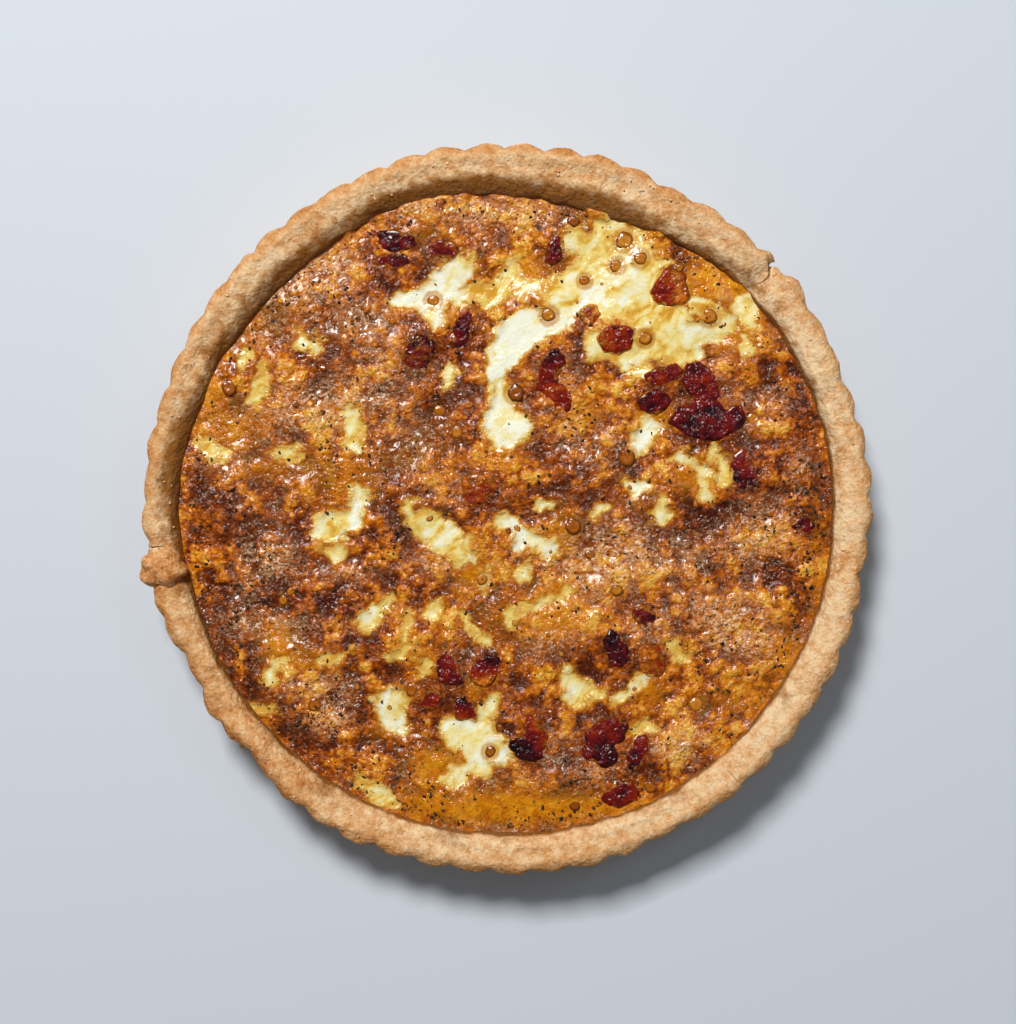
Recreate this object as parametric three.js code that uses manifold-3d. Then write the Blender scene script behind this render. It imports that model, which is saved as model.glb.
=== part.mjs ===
// A round open quiche: a fluted pastry crust, a browned cheese and egg filling level with
// its inside, and pieces of bacon lying sunk in the filling.
// Millimetres, +Z up. The origin is the middle of the crust's circle, on the flat underside.

import * as THREE from 'three';
import { mergeVertices } from 'three/addons/utils/BufferGeometryUtils.js';
import Module from 'manifold-3d';

const wasm = await Module();
wasm.setup();

// Driving dimensions of the crust.
const RIM_RADIUS = 114.5;        // mean outer radius at the rim
const RIM_HEIGHT = 27.5;         // crest of the rim above the underside
const SIDE_LEAN = 5.6;           // how far the side leans in from rim to foot
const FOOT_ROUND = 3;            // flat underside ends this far inside the foot
const BASE_THICKNESS = 4.2;      // pastry under the filling
const FLUTE_COUNT = 57;
const FLUTE_DEPTH = 1.6;
const FIRST_FLUTE = 5.2;         // degrees from +X to the first crest
const STEPS_PER_FLUTE = 4;
const CREST_INSET = 3.3;         // rim's highest line, in from the outer edge
const SHOULDER_INSET = 6.4;      // where the rounded rim turns into the inner slope
const CRUST_GRAIN = 0.22;        // height of the unevenness of the baked dough

// Slow swellings and dents of the outer edge: angle, half width in degrees, amount.
const RIM_SWELLS = [
  [22, 5, -1.2], [38.2, 2, 2.0], [44, 2.2, 1.1], [61, 5, -1.1], [101, 4, 0.9],
  [207, 6, -3.0], [223, 4.5, -2.3], [240, 5, 1.0], [276, 9, 0.6], [350, 6, -0.7],
];

// The inner wall stands further in on the far side: angle, half width in degrees, amount.
const WALL_LEANS = [[76, 24, -5.2], [130, 26, -2.3], [176, 10, 1.2]];

// Splits in the rim: angle, width at the mouth, reach inwards, depth below the crest.
const SPLITS = [
  { angle: 42, width: 3.0, reach: 7.5, depth: 10 },
  { angle: 41, width: 1.1, reach: 13, depth: 4.5 },
  { angle: 186.3, width: 2.4, reach: 5.5, depth: 8 },
  { angle: 113, width: 1.2, reach: 12, depth: 2.8 },
  { angle: 310.3, width: 1.4, reach: 8.5, depth: 2.6 },
  { angle: 331.5, width: 0.9, reach: 7, depth: 1.6 },
];

// A flap of dough folded over the rim and baked on.
const FOLD = { angle: 189.9, radius: 110.3, long: 7.3, wide: 6.2, deep: 4.6, below: 1.9 };

// Driving dimensions of the filling.
const FILLING_RADIUS = 102.8;    // where the filling meets the wall
const FILLING_LEVEL = 22.6;      // mean height of its top
const EDGE_DIP = 0.9;            // how much lower it lies along the wall
const EDGE_BAND = 9;             // width of that lower band
const WALL_FOOT = 4;             // the wall's inner foot stands this far inside its top
const FILLING_RINGS = 10;
const FILLING_STEPS = 90;        // steps round the filling
const GAP = 0.35;                // clear space between pieces that lie together
const RELIEF = [                 // long swells of the top: wavelength, height
  [64, 0.34], [47, 0.34], [36, 0.3], [29, 0.26], [23, 0.22], [18.5, 0.18],
];
const GOLDEN_ANGLE = Math.PI * (3 - Math.sqrt(5));

// Blisters and drops that stand on the filling: centre, radius.
const BLISTERS = [
  [-23.6, 65.9, 2.3], [2.7, 36.8, 3.0], [13.1, 61.2, 2.6], [20.9, 91.2, 2.2], [34.6, 77.0, 2.3],
  [37.1, 84.8, 3.1], [41.8, 79.2, 2.6], [43.4, 53.9, 2.7], [-21.4, 31.1, 2.6], [-16.0, 24.2, 2.5],
  [20.7, -5.5, 3.9], [34.6, -25.7, 2.4], [-8.1, -22.6, 2.4], [37.4, 16.3, 3.2], [64.0, 61.0, 3.0],
  [-30.5, -57.3, 2.5], [-88.0, 38.0, 2.6], [-61.0, -62.0, 2.6], [60.0, -62.0, 2.8], [78.0, 28.0, 2.7],
];

// Herb and pepper flakes large enough to stand out.
const FLAKE_COUNT = 36;
const FLAKE_LENGTH = 2.3;
const FLAKE_WIDTH = 1.5;
const FLAKE_RISE = 0.8;
const FLAKE_SEED = 11;

// Bacon pieces: centre, length and width, turn in degrees, thickness. A piece with more
// than one lobe is one slice of uneven shape.
const BACON = [
  { lobes: [
    { at: [61.4, 39.6], size: [16.0, 10.6], turn: 105, thick: 4.6 },
    { at: [62.2, 27.8], size: [20.6, 13.8], turn: -6, thick: 4.8 },
    { at: [70.6, 28.2], size: [10.6, 7.4], turn: 62, thick: 4.4 },
  ] },
  { lobes: [{ at: [74.6, 12.0], size: [13.0, 7.0], turn: 98, thick: 2.6 }] },
  { lobes: [{ at: [48.8, 42.0], size: [12.4, 4.2], turn: 22, thick: 2.4 }] },
  { lobes: [{ at: [46.2, 34.0], size: [9.8, 7.2], turn: 14, thick: 4.0 }] },
  { lobes: [{ at: [51.8, 69.6], size: [13.0, 11.0], turn: 112, thick: 5.2 }] },
  { lobes: [{ at: [34.8, 54.0], size: [12.6, 7.8], turn: 8, thick: 3.4 }] },
  { lobes: [{ at: [26.0, 61.2], size: [6.0, 5.2], turn: 20, thick: 2.8 }] },
  { lobes: [
    { at: [14.2, 46.4], size: [9.0, 6.0], turn: 40, thick: 3.0 },
    { at: [12.6, 40.8], size: [8.0, 7.0], turn: 95, thick: 3.4 },
    { at: [15.8, 35.2], size: [11.0, 7.4], turn: -42, thick: 3.0 },
  ] },
  { lobes: [{ at: [15.2, 81.4], size: [8.2, 5.0], turn: 68, thick: 3.2 }] },
  { lobes: [{ at: [-14.1, 55.6], size: [13.8, 5.0], turn: 84, thick: 3.0 }] },
  { lobes: [{ at: [-28.4, 50.0], size: [14.2, 9.6], turn: 76, thick: 2.8 }] },
  { lobes: [{ at: [-35.4, 84.8], size: [14.0, 5.0], turn: -6, thick: 3.0 }] },
  { lobes: [{ at: [-36.2, 78.2], size: [12.4, 3.6], turn: 4, thick: 2.4 }] },
  { lobes: [{ at: [-20.6, 81.8], size: [9.6, 5.4], turn: 8, thick: 2.6 }] },
  { lobes: [{ at: [-8.6, 6.8], size: [12.0, 9.6], turn: 20, thick: 2.6 }] },
  { lobes: [{ at: [-18.4, -50.8], size: [11.0, 7.0], turn: 118, thick: 3.2 }] },
  { lobes: [{ at: [-7.2, -51.0], size: [10.4, 8.0], turn: 72, thick: 4.2 }] },
  { lobes: [{ at: [-13.4, -63.2], size: [8.2, 6.2], turn: -12, thick: 4.0 }] },
  { lobes: [{ at: [-23.6, -60.6], size: [9.4, 3.2], turn: 28, thick: 2.2 }] },
  { lobes: [
    { at: [31.6, -71.2], size: [15.0, 8.8], turn: 14, thick: 4.2 },
    { at: [29.4, -77.4], size: [11.4, 8.6], turn: -24, thick: 3.6 },
  ] },
  { lobes: [
    { at: [8.8, -71.8], size: [11.6, 5.4], turn: 118, thick: 2.8 },
    { at: [6.4, -76.2], size: [12.6, 5.6], turn: -16, thick: 3.4 },
  ] },
  { lobes: [{ at: [41.6, -77.6], size: [12.0, 4.6], turn: 66, thick: 3.0 }] },
  { lobes: [{ at: [35.8, -90.8], size: [13.0, 6.6], turn: 28, thick: 3.0 }] },
  { lobes: [{ at: [34.2, -44.2], size: [12.6, 7.4], turn: 112, thick: 3.2 }] },
  { lobes: [{ at: [45.4, -48.2], size: [11.4, 8.0], turn: 96, thick: 3.4 }] },
  { lobes: [{ at: [43.2, -34.2], size: [6.6, 5.6], turn: 30, thick: 2.6 }] },
  { lobes: [{ at: [94.0, -5.6], size: [6.6, 4.6], turn: -10, thick: 2.4 }] },
];
const BACON_SIDES = 9;
const BACON_SUNK = 0.35;         // share of a piece's half thickness that lies lower

const degrees = THREE.MathUtils.degToRad;

function swell(angle, list) {
  let sum = 0;
  for (const [centre, halfWidth, amount] of list) {
    const away = THREE.MathUtils.euclideanModulo(angle - centre + 180, 360) - 180;
    sum += amount * Math.exp(-((away / halfWidth) ** 2));
  }
  return sum;
}

// Unevenness of baked dough, from -1 to 1.
function doughGrain(angle, along) {
  const a = degrees(angle);
  return (Math.sin(5 * a + 1.3 * along) + Math.sin(13 * a - 2.1 * along + 1)
    + Math.sin(29 * a + 0.7 * along + 2)) / 3;
}

// Scallop of the fluted side: 1 on a crest, 0 in the sharp valley between two flutes.
function scallop(angle) {
  const phase = degrees((angle - FIRST_FLUTE) * FLUTE_COUNT / 2);
  return Math.abs(Math.cos(phase)) ** 0.8;
}

function outerRadius(angle) {
  return RIM_RADIUS + swell(angle, RIM_SWELLS);
}

function fillingRadius(angle) {
  return FILLING_RADIUS + swell(angle, WALL_LEANS);
}

// Section of the crust at an angle, from the axis below, up the side, over and back inside.
function crustSection(angle) {
  const outer = outerRadius(angle);
  const inner = fillingRadius(angle);
  const foot = outer - SIDE_LEAN;
  const flute = FLUTE_DEPTH * (scallop(angle) - 0.6);
  const crest = RIM_HEIGHT + 2 * CRUST_GRAIN * doughGrain(angle, 0);
  const shoulder = outer - SHOULDER_INSET;
  const grain = CRUST_GRAIN * doughGrain(angle, 3);
  return [
    [0, 0],
    [foot - FOOT_ROUND, 0],
    [foot + 0.8 * flute, 1.2],
    [outer - 0.9 + flute, crest - 5.5],
    [outer + flute + grain, crest - 2.9],
    [outer - 1.2 + 0.5 * flute, crest - 0.9],
    [outer - CREST_INSET, crest],
    [shoulder, crest - 0.8 + grain],
    [(shoulder + inner) / 2, (crest + FILLING_LEVEL) / 2 - 0.2 - grain],
    [inner, FILLING_LEVEL - 0.6],
    [inner - WALL_FOOT, BASE_THICKNESS],
    [0, BASE_THICKNESS],
  ];
}

// Height of the filling's top above the underside of the crust.
function fillingHeight(x, y) {
  let height = FILLING_LEVEL;
  RELIEF.forEach(([wavelength, rise], i) => {
    const heading = (i + 1) * GOLDEN_ANGLE;
    const along = x * Math.cos(heading) + y * Math.sin(heading);
    height += rise * Math.sin(2 * Math.PI * along / wavelength + 2.4 * i);
  });
  const angle = THREE.MathUtils.radToDeg(Math.atan2(y, x));
  const toWall = fillingRadius(angle) - Math.hypot(x, y);
  return height - EDGE_DIP * (1 - THREE.MathUtils.smoothstep(toWall, 0, EDGE_BAND));
}

function fillingSection(angle) {
  const a = degrees(angle);
  const edge = fillingRadius(angle) - 1.2 * GAP;
  const points = [[0, BASE_THICKNESS + GAP], [edge - WALL_FOOT, BASE_THICKNESS + GAP]];
  for (let ring = FILLING_RINGS; ring >= 0; ring -= 1) {
    const radius = edge * ring / FILLING_RINGS;
    points.push([radius, fillingHeight(radius * Math.cos(a), radius * Math.sin(a))]);
  }
  return points;
}

// Closed solid of revolution whose section changes with the angle.
function turned(section, steps) {
  const start = section(0).map(([radius, height]) => new THREE.Vector2(radius, height));
  const geometry = new THREE.LatheGeometry(start, steps);
  const place = geometry.attributes.position;
  for (let step = 0; step <= steps; step += 1) {
    const angle = 360 * (step % steps) / steps;
    section(angle).forEach(([radius, height], i) => {
      const a = degrees(angle);
      place.setXYZ(step * start.length + i, radius * Math.cos(a), radius * Math.sin(a), height);
    });
  }
  return geometry;
}

// A geometry as a solid that can be joined and cut.
function solidOf(geometry) {
  const bare = geometry.clone();
  bare.deleteAttribute('normal');
  bare.deleteAttribute('uv');
  const merged = mergeVertices(bare, 1e-4);
  const place = merged.attributes.position;
  const triVerts = [];
  let volume = 0;
  const corner = [0, 1, 2].map(() => new THREE.Vector3());
  for (let i = 0; i < merged.index.count; i += 3) {
    const tri = [0, 1, 2].map((k) => merged.index.getX(i + k));
    if (new Set(tri).size < 3) continue;
    triVerts.push(...tri);
    tri.forEach((index, k) => corner[k].fromBufferAttribute(place, index));
    volume += corner[0].dot(corner[1].cross(corner[2]));
  }
  if (volume < 0) triVerts.reverse();
  return new wasm.Manifold(new wasm.Mesh({
    numProp: 3,
    vertProperties: Float32Array.from(place.array),
    triVerts: Uint32Array.from(triVerts),
  }));
}

function geometryOf(solid) {
  const mesh = solid.getMesh();
  const geometry = new THREE.BufferGeometry();
  geometry.setAttribute('position', new THREE.BufferAttribute(mesh.vertProperties, 3));
  geometry.setIndex(new THREE.BufferAttribute(mesh.triVerts, 1));
  geometry.computeVertexNormals();
  return geometry;
}

// Wedge that opens a split: pointed inside, as wide as its mouth outside the rim.
function splitWedge({ angle, width, reach, depth }) {
  const outside = outerRadius(angle) + 4;
  const inside = outerRadius(angle) - reach;
  const wedge = new THREE.Shape([
    new THREE.Vector2(inside, 0),
    new THREE.Vector2(outside, -width * 0.7),
    new THREE.Vector2(outside, width * 0.7),
  ]);
  const cutter = new THREE.ExtrudeGeometry(wedge, { depth: depth + 4, bevelEnabled: false });
  cutter.translate(0, 0, RIM_HEIGHT - depth);
  cutter.rotateZ(degrees(angle));
  return cutter;
}

function foldedFlap() {
  const flap = new THREE.SphereGeometry(1, 14, 9);
  flap.rotateX(Math.PI / 2);
  flap.scale(FOLD.long, FOLD.wide, FOLD.deep);
  const place = flap.attributes.position;
  for (let i = 0; i < place.count; i += 1) {
    const [x, y, z] = [place.getX(i), place.getY(i), place.getZ(i)];
    const lump = 1 + 0.05 * Math.sin(0.9 * x + 0.6 * y) + 0.04 * Math.sin(1.1 * y - 0.5 * z);
    place.setXYZ(i, x * lump, y * lump, z * (1 - 0.03 * x));
  }
  flap.translate(FOLD.radius, 0, RIM_HEIGHT - FOLD.below);
  flap.rotateZ(degrees(FOLD.angle));
  return flap;
}

function crustSolid() {
  let crust = solidOf(turned(crustSection, FLUTE_COUNT * STEPS_PER_FLUTE));
  for (const split of SPLITS) crust = crust.subtract(solidOf(splitWedge(split)));
  return crust.add(solidOf(foldedFlap()));
}

// One rounded lobe of bacon draped on the filling, grown on every side by a clearance.
function baconLobe({ at, size, turn, thick }, order, grow) {
  const half = thick / 2 + grow;
  const profile = [[0, -1], [0.66, -1], [1, -0.1], [0.72, 0.8], [0, 1]];
  const slab = new THREE.LatheGeometry(profile.map(([r, z]) => new THREE.Vector2(r, z)), BACON_SIDES);
  slab.rotateX(Math.PI / 2);
  const place = slab.attributes.position;
  const heading = degrees(turn);
  for (let i = 0; i < place.count; i += 1) {
    const around = Math.atan2(place.getY(i), place.getX(i));
    const uneven = 1 + 0.1 * Math.sin(2 * around + order) + 0.09 * Math.sin(3 * around + 2.3 * order);
    const along = place.getX(i) * (uneven * size[0] / 2 + grow);
    const aside = place.getY(i) * (uneven * size[1] / 2 + grow);
    const x = at[0] + along * Math.cos(heading) - aside * Math.sin(heading);
    const y = at[1] + along * Math.sin(heading) + aside * Math.cos(heading);
    const sunk = BACON_SUNK * thick / 2;
    place.setXYZ(i, x, y, fillingHeight(x, y) - sunk + half * place.getZ(i));
  }
  return slab;
}

function baconSolid({ lobes }, order, grow = 0) {
  const solids = lobes.map((lobe, k) => solidOf(baconLobe(lobe, order + 1.7 * k, grow)));
  return solids.reduce((joined, next) => joined.add(next));
}

function nearBacon(x, y, clear) {
  return BACON.some(({ lobes }) => lobes.some(({ at, size }) => (
    Math.hypot(x - at[0], y - at[1]) < size[0] / 2 + clear)));
}

function blister([x, y, radius]) {
  const drop = new THREE.SphereGeometry(radius, 7, 4);
  drop.rotateX(Math.PI / 2);
  drop.scale(1, 1, 0.7);
  drop.translate(x, y, fillingHeight(x, y) - 0.25 * radius);
  return drop;
}

// Even spread over the disc by the golden angle, with a seeded shift of each flake.
function flakes() {
  let state = FLAKE_SEED;
  const draw = () => {
    state = (state * 16807) % 2147483647;
    return state / 2147483647;
  };
  const made = [];
  for (let i = 0; made.length < FLAKE_COUNT; i += 1) {
    const radius = (FILLING_RADIUS - 7) * Math.sqrt((i + 0.5) / (FLAKE_COUNT * 1.6));
    const heading = i * GOLDEN_ANGLE + 0.3 * draw();
    const x = radius * Math.cos(heading);
    const y = radius * Math.sin(heading);
    const onBlister = BLISTERS.some(([bx, by, r]) => Math.hypot(x - bx, y - by) < r + FLAKE_LENGTH);
    if (radius > FILLING_RADIUS - 7) break;
    if (nearBacon(x, y, FLAKE_LENGTH) || onBlister) continue;
    const flake = new THREE.OctahedronGeometry(1, 0);
    flake.scale(FLAKE_LENGTH / 2, FLAKE_WIDTH / 2, FLAKE_RISE);
    flake.rotateZ(2 * Math.PI * draw());
    flake.translate(x, y, fillingHeight(x, y));
    made.push(flake);
  }
  return made;
}

function fillingSolid() {
  let filling = solidOf(turned(fillingSection, FILLING_STEPS));
  for (const drop of BLISTERS) filling = filling.add(solidOf(blister(drop)));
  for (const flake of flakes()) filling = filling.add(solidOf(flake));
  BACON.forEach((piece, i) => {
    filling = filling.subtract(baconSolid(piece, i, GAP));
  });
  return filling;
}

const PASTRY = { color: 0xdcae76, roughness: 0.9, metalness: 0 };
const BROWNED_CHEESE = { color: 0xb8752c, roughness: 0.35, metalness: 0 };
const BACON_RED = { color: 0x74201c, roughness: 0.35, metalness: 0 };

function piece(name, solid, finish) {
  const mesh = new THREE.Mesh(geometryOf(solid), new THREE.MeshStandardMaterial(finish));
  mesh.name = name;
  return mesh;
}

const quiche = new THREE.Group();
quiche.name = 'quiche';
quiche.add(piece('crust', crustSolid(), PASTRY));
quiche.add(piece('filling', fillingSolid(), BROWNED_CHEESE));
BACON.forEach((slice, i) => {
  const number = String(i + 1).padStart(2, '0');
  quiche.add(piece(`bacon_${number}`, baconSolid(slice, i), BACON_RED));
});

export default quiche;
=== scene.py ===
"""A round quiche: fluted shortcrust, browned cheese and egg filling, bacon, herb and pepper flakes."""

import math

import bmesh
import bpy
import numpy as np
from mathutils import Euler, Matrix, Vector
from mathutils.kdtree import KDTree


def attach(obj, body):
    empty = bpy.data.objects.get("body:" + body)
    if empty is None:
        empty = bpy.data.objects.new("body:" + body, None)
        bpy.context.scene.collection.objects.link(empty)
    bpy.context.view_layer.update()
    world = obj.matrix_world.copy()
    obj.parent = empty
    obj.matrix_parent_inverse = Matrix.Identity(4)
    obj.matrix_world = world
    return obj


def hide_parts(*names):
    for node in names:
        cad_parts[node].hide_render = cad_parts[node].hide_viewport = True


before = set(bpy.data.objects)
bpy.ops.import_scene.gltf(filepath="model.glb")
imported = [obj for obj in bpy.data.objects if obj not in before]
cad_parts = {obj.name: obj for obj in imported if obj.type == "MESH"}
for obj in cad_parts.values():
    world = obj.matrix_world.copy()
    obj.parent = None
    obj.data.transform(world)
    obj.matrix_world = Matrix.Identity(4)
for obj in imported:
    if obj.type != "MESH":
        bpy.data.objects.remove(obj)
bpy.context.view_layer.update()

bl_info = {
    "name": "Quiche",
    "version": (1, 0, 0),
    "blender": (4, 5, 0),
    "location": "3D View > Sidebar > Quiche",
    "description": "Builds a round bacon quiche with a fluted crust around its measured solids",
    "category": "Add Mesh",
}

MM = 0.001
SEAM = 0.01 * MM                 # vertices closer than this are merged
FULL_TURN = 6.28                 # in radians

# The photograph's frame: the middle of the crust in it, and its scale at the filling.
MIDDLE_PIXEL = (507.6, 508.6)
FILLING_SCALE = 0.316            # millimetres a pixel

# Crust, in millimetres and degrees.
FLUTE_COUNT = 57
FLUTE_DEPTH = 1.6
FIRST_FLUTE = 5.2
FOOT_ROUND = 3.0
CREST_INSET = 3.3
SHOULDER_INSET = 6.4
STEPS_PER_FLUTE = 20
SECTION_STEPS = (14, 5, 13, 6, 5, 5, 6, 8, 8, 3, 2)

# Where the rim bulges or sinks, and where the inner wall leans: angle, half width, amount.
RIM_SWELLS = (
    (22, 5, -1.2), (38.2, 2, 2.0), (44, 2.2, 1.1), (61, 5, -1.1), (101, 4, 0.9), (207, 6, -3.0),
    (223, 4.5, -2.3), (240, 5, 1.0), (276, 9, 0.6), (350, 6, -0.7),
)
WALL_LEANS = ((76, 24, -5.2), (130, 26, -2.3), (176, 10, 1.2))

# Splits in the rim: angle, width at the mouth, reach inwards, depth, slump of the lips.
SPLITS = (
    (42.0, 6.6, 9.0, 14.0, 2.4),
    (41.0, 0.9, 14.0, 4.5, 0.0),
    (186.3, 2.2, 6.0, 8.0, 1.0),
    (113.0, 0.8, 12.0, 2.6, 0.3),
    (310.3, 1.1, 9.0, 2.6, 0.3),
    (331.5, 0.6, 7.5, 1.4, 0.1),
    (347.5, 0.5, 8.0, 1.2, 0.1),
)
LIP_WIDTH = 3.2                  # how far a lip's slump runs along the rim

# Fat soaking into the inside of the rim, darkened further there as painted shade where the north and
# west inner wall faces away from the light, and browning of its outside: angle, half width, amount.
SOAK_AND_SHADE = (
    (92, 40, 1.15), (140, 30, 0.85), (176, 22, 0.95), (45, 16, 0.5), (20, 12, 0.25), (205, 20, 0.35),
    (250, 30, 0.25), (310, 40, 0.2),
)
TOASTED = ((213, 24, 0.8), (190, 8, 0.2), (275, 20, 0.15))

# The flap of dough folded over the rim: its place, half sizes and how far it lies below the crest.
FOLD = {"angle": 189.9, "radius": 110.3, "long": 7.3, "wide": 6.2, "deep": 4.6, "below": 1.9}

# Crumbs: how many small ones lie on the rim, and x, y and height of the large ones.
SMALL_CRUMBS = 150
LARGE_CRUMBS = ((-95.0, -60.2, 17.0), (-88.2, -71.5, 18.0), (-84.3, -75.6, 19.0), (62.4, -97.4, 18.0))

# Filling, in millimetres.
EDGE_DIP = 0.9                   # how far it sinks towards the wall
EDGE_BAND = 9.0                  # and over what width
WALL_FOOT = 4.0                  # how far the inner wall comes in at its foot
WALL_TUCK = 0.7                  # how far the top runs into the wall
CREAM_SINK = 0.35                # how much lower the cream lies
BACON_BANK = 0.5                 # how much the filling rises to a bacon piece
FILLING_CELLS = 306              # squares across the filling's top
SMALL_BLISTERS = 170
BLISTER_REACH = 98               # how far out small blisters lie
FLAKE_REACH = 101                # how far out flakes lie
FLAKE_DRAWS = 4000               # places drawn at a time for flakes

# Long swells of its top: wavelength and rise, each turned from the last by the golden angle.
RELIEF = ((64, 0.34), (47, 0.34), (36, 0.3), (29, 0.26), (23, 0.22), (18.5, 0.18))
GOLDEN_ANGLE = math.pi * (3 - math.sqrt(5))

# Cheese stuck to the wall: angle, half width, height.
STUCK = ((64, 34, 2.6), (120, 20, 1.2), (330, 30, 0.8))

# Cream left unbrowned, as tapering strokes in the photograph's pixels:
# start x, y, half width, end x, y, half width, whiteness.
CREAM = (
    (600, 235, 14, 585, 285, 22, 0.45), (620, 290, 26, 670, 330, 24, 0.35),
    (640, 345, 18, 690, 345, 16, 0.45), (560, 300, 10, 610, 290, 22, 0.55),
    (500, 400, 12, 506, 428, 21, 0.9), (498, 365, 12, 515, 335, 16, 1.0),
    (497, 368, 10, 497, 402, 10, 0.8), (470, 292, 10, 560, 282, 12, 0.05),
    (575, 240, 12, 640, 260, 22, 0.3), (600, 290, 24, 650, 300, 26, 0.35),
    (425, 520, 12, 462, 560, 12, 0.45), (330, 528, 12, 352, 520, 10, 0.45),
    (600, 345, 14, 640, 350, 14, 0.4), (700, 300, 10, 745, 345, 8, 0.4),
    (520, 330, 16, 560, 318, 10, 1.0), (560, 315, 7, 600, 298, 9, 1.0),
    (640, 240, 8, 615, 225, 10, 0.4), (580, 265, 12, 560, 290, 10, 0.4),
    (625, 270, 16, 600, 300, 18, 0.5), (690, 335, 13, 735, 325, 8, 0.7),
    (745, 300, 13, 748, 320, 11, 0.6), (400, 300, 6, 430, 295, 18, 0.9),
    (430, 295, 16, 455, 272, 14, 0.8), (455, 272, 12, 468, 262, 5, 0.5),
    (430, 300, 14, 438, 320, 7, 0.9), (450, 290, 8, 462, 300, 6, 0.6), (505, 275, 9, 520, 268, 10, 0.4),
    (480, 300, 5, 500, 290, 6, 0.2), (650, 430, 14, 642, 445, 8, 0.7), (632, 487, 9, 645, 485, 8, 0.9),
    (684, 458, 6, 700, 470, 7, 0.6), (700, 470, 7, 705, 500, 4, 0.6), (715, 455, 5, 728, 478, 6, 0.5),
    (630, 365, 8, 640, 372, 6, 0.5), (300, 342, 7, 314, 345, 6, 0.5), (240, 358, 6, 246, 352, 4, 0.2),
    (262, 368, 4, 256, 402, 6, 0.1), (352, 412, 7, 354, 445, 6, 0.5), (208, 447, 8, 225, 455, 6, 0.3),
    (280, 455, 5, 292, 455, 6, 0.2), (450, 365, 6, 446, 385, 5, 0.4), (318, 528, 9, 335, 535, 8, 0.4),
    (335, 533, 8, 352, 520, 8, 0.6), (352, 520, 8, 360, 500, 8, 0.7), (360, 500, 7, 350, 492, 5, 0.6),
    (412, 515, 8, 440, 535, 12, 0.6), (440, 535, 12, 460, 555, 9, 0.5), (470, 545, 5, 482, 585, 7, 0.7),
    (505, 520, 6, 520, 540, 9, 0.9), (520, 540, 10, 550, 548, 9, 0.9), (520, 570, 6, 515, 575, 4, 0.5),
    (510, 620, 6, 570, 592, 5, 0.2), (540, 505, 6, 550, 508, 4, 0.6), (600, 510, 5, 596, 518, 4, 0.6),
    (665, 515, 8, 660, 508, 6, 0.6), (335, 553, 7, 340, 548, 5, 0.5), (362, 622, 6, 386, 604, 6, 0.6),
    (265, 678, 5, 290, 662, 6, 0.3), (388, 705, 12, 392, 725, 9, 0.8), (400, 700, 6, 400, 730, 5, 0.5),
    (435, 605, 6, 428, 612, 4, 0.4), (462, 620, 4, 482, 640, 5, 0.4), (395, 655, 7, 405, 650, 5, 0.5),
    (425, 665, 7, 420, 672, 5, 0.5), (455, 730, 12, 480, 730, 14, 0.75),
    (485, 715, 8, 492, 700, 6, 0.5), (490, 745, 12, 505, 750, 9, 0.8), (450, 770, 9, 480, 765, 10, 0.6),
    (475, 742, 16, 478, 752, 15, 0.8), (568, 682, 9, 578, 695, 10, 0.6),
    (578, 695, 8, 598, 690, 5, 0.6), (632, 690, 7, 645, 683, 5, 0.7), (618, 700, 5, 628, 693, 5, 0.5),
    (680, 660, 4, 674, 645, 4, 0.3), (645, 730, 5, 650, 728, 4, 0.4), (360, 785, 6, 380, 795, 9, 0.2),
    (380, 795, 9, 394, 800, 6, 0.3), (455, 780, 8, 440, 775, 5, 0.5), (322, 660, 5, 345, 655, 4, 0.1),
    (408, 622, 4, 402, 640, 3, 0.2), (250, 712, 4, 272, 706, 5, 0.1), (650, 270, 8, 668, 262, 5, 0.4),
)
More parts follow.
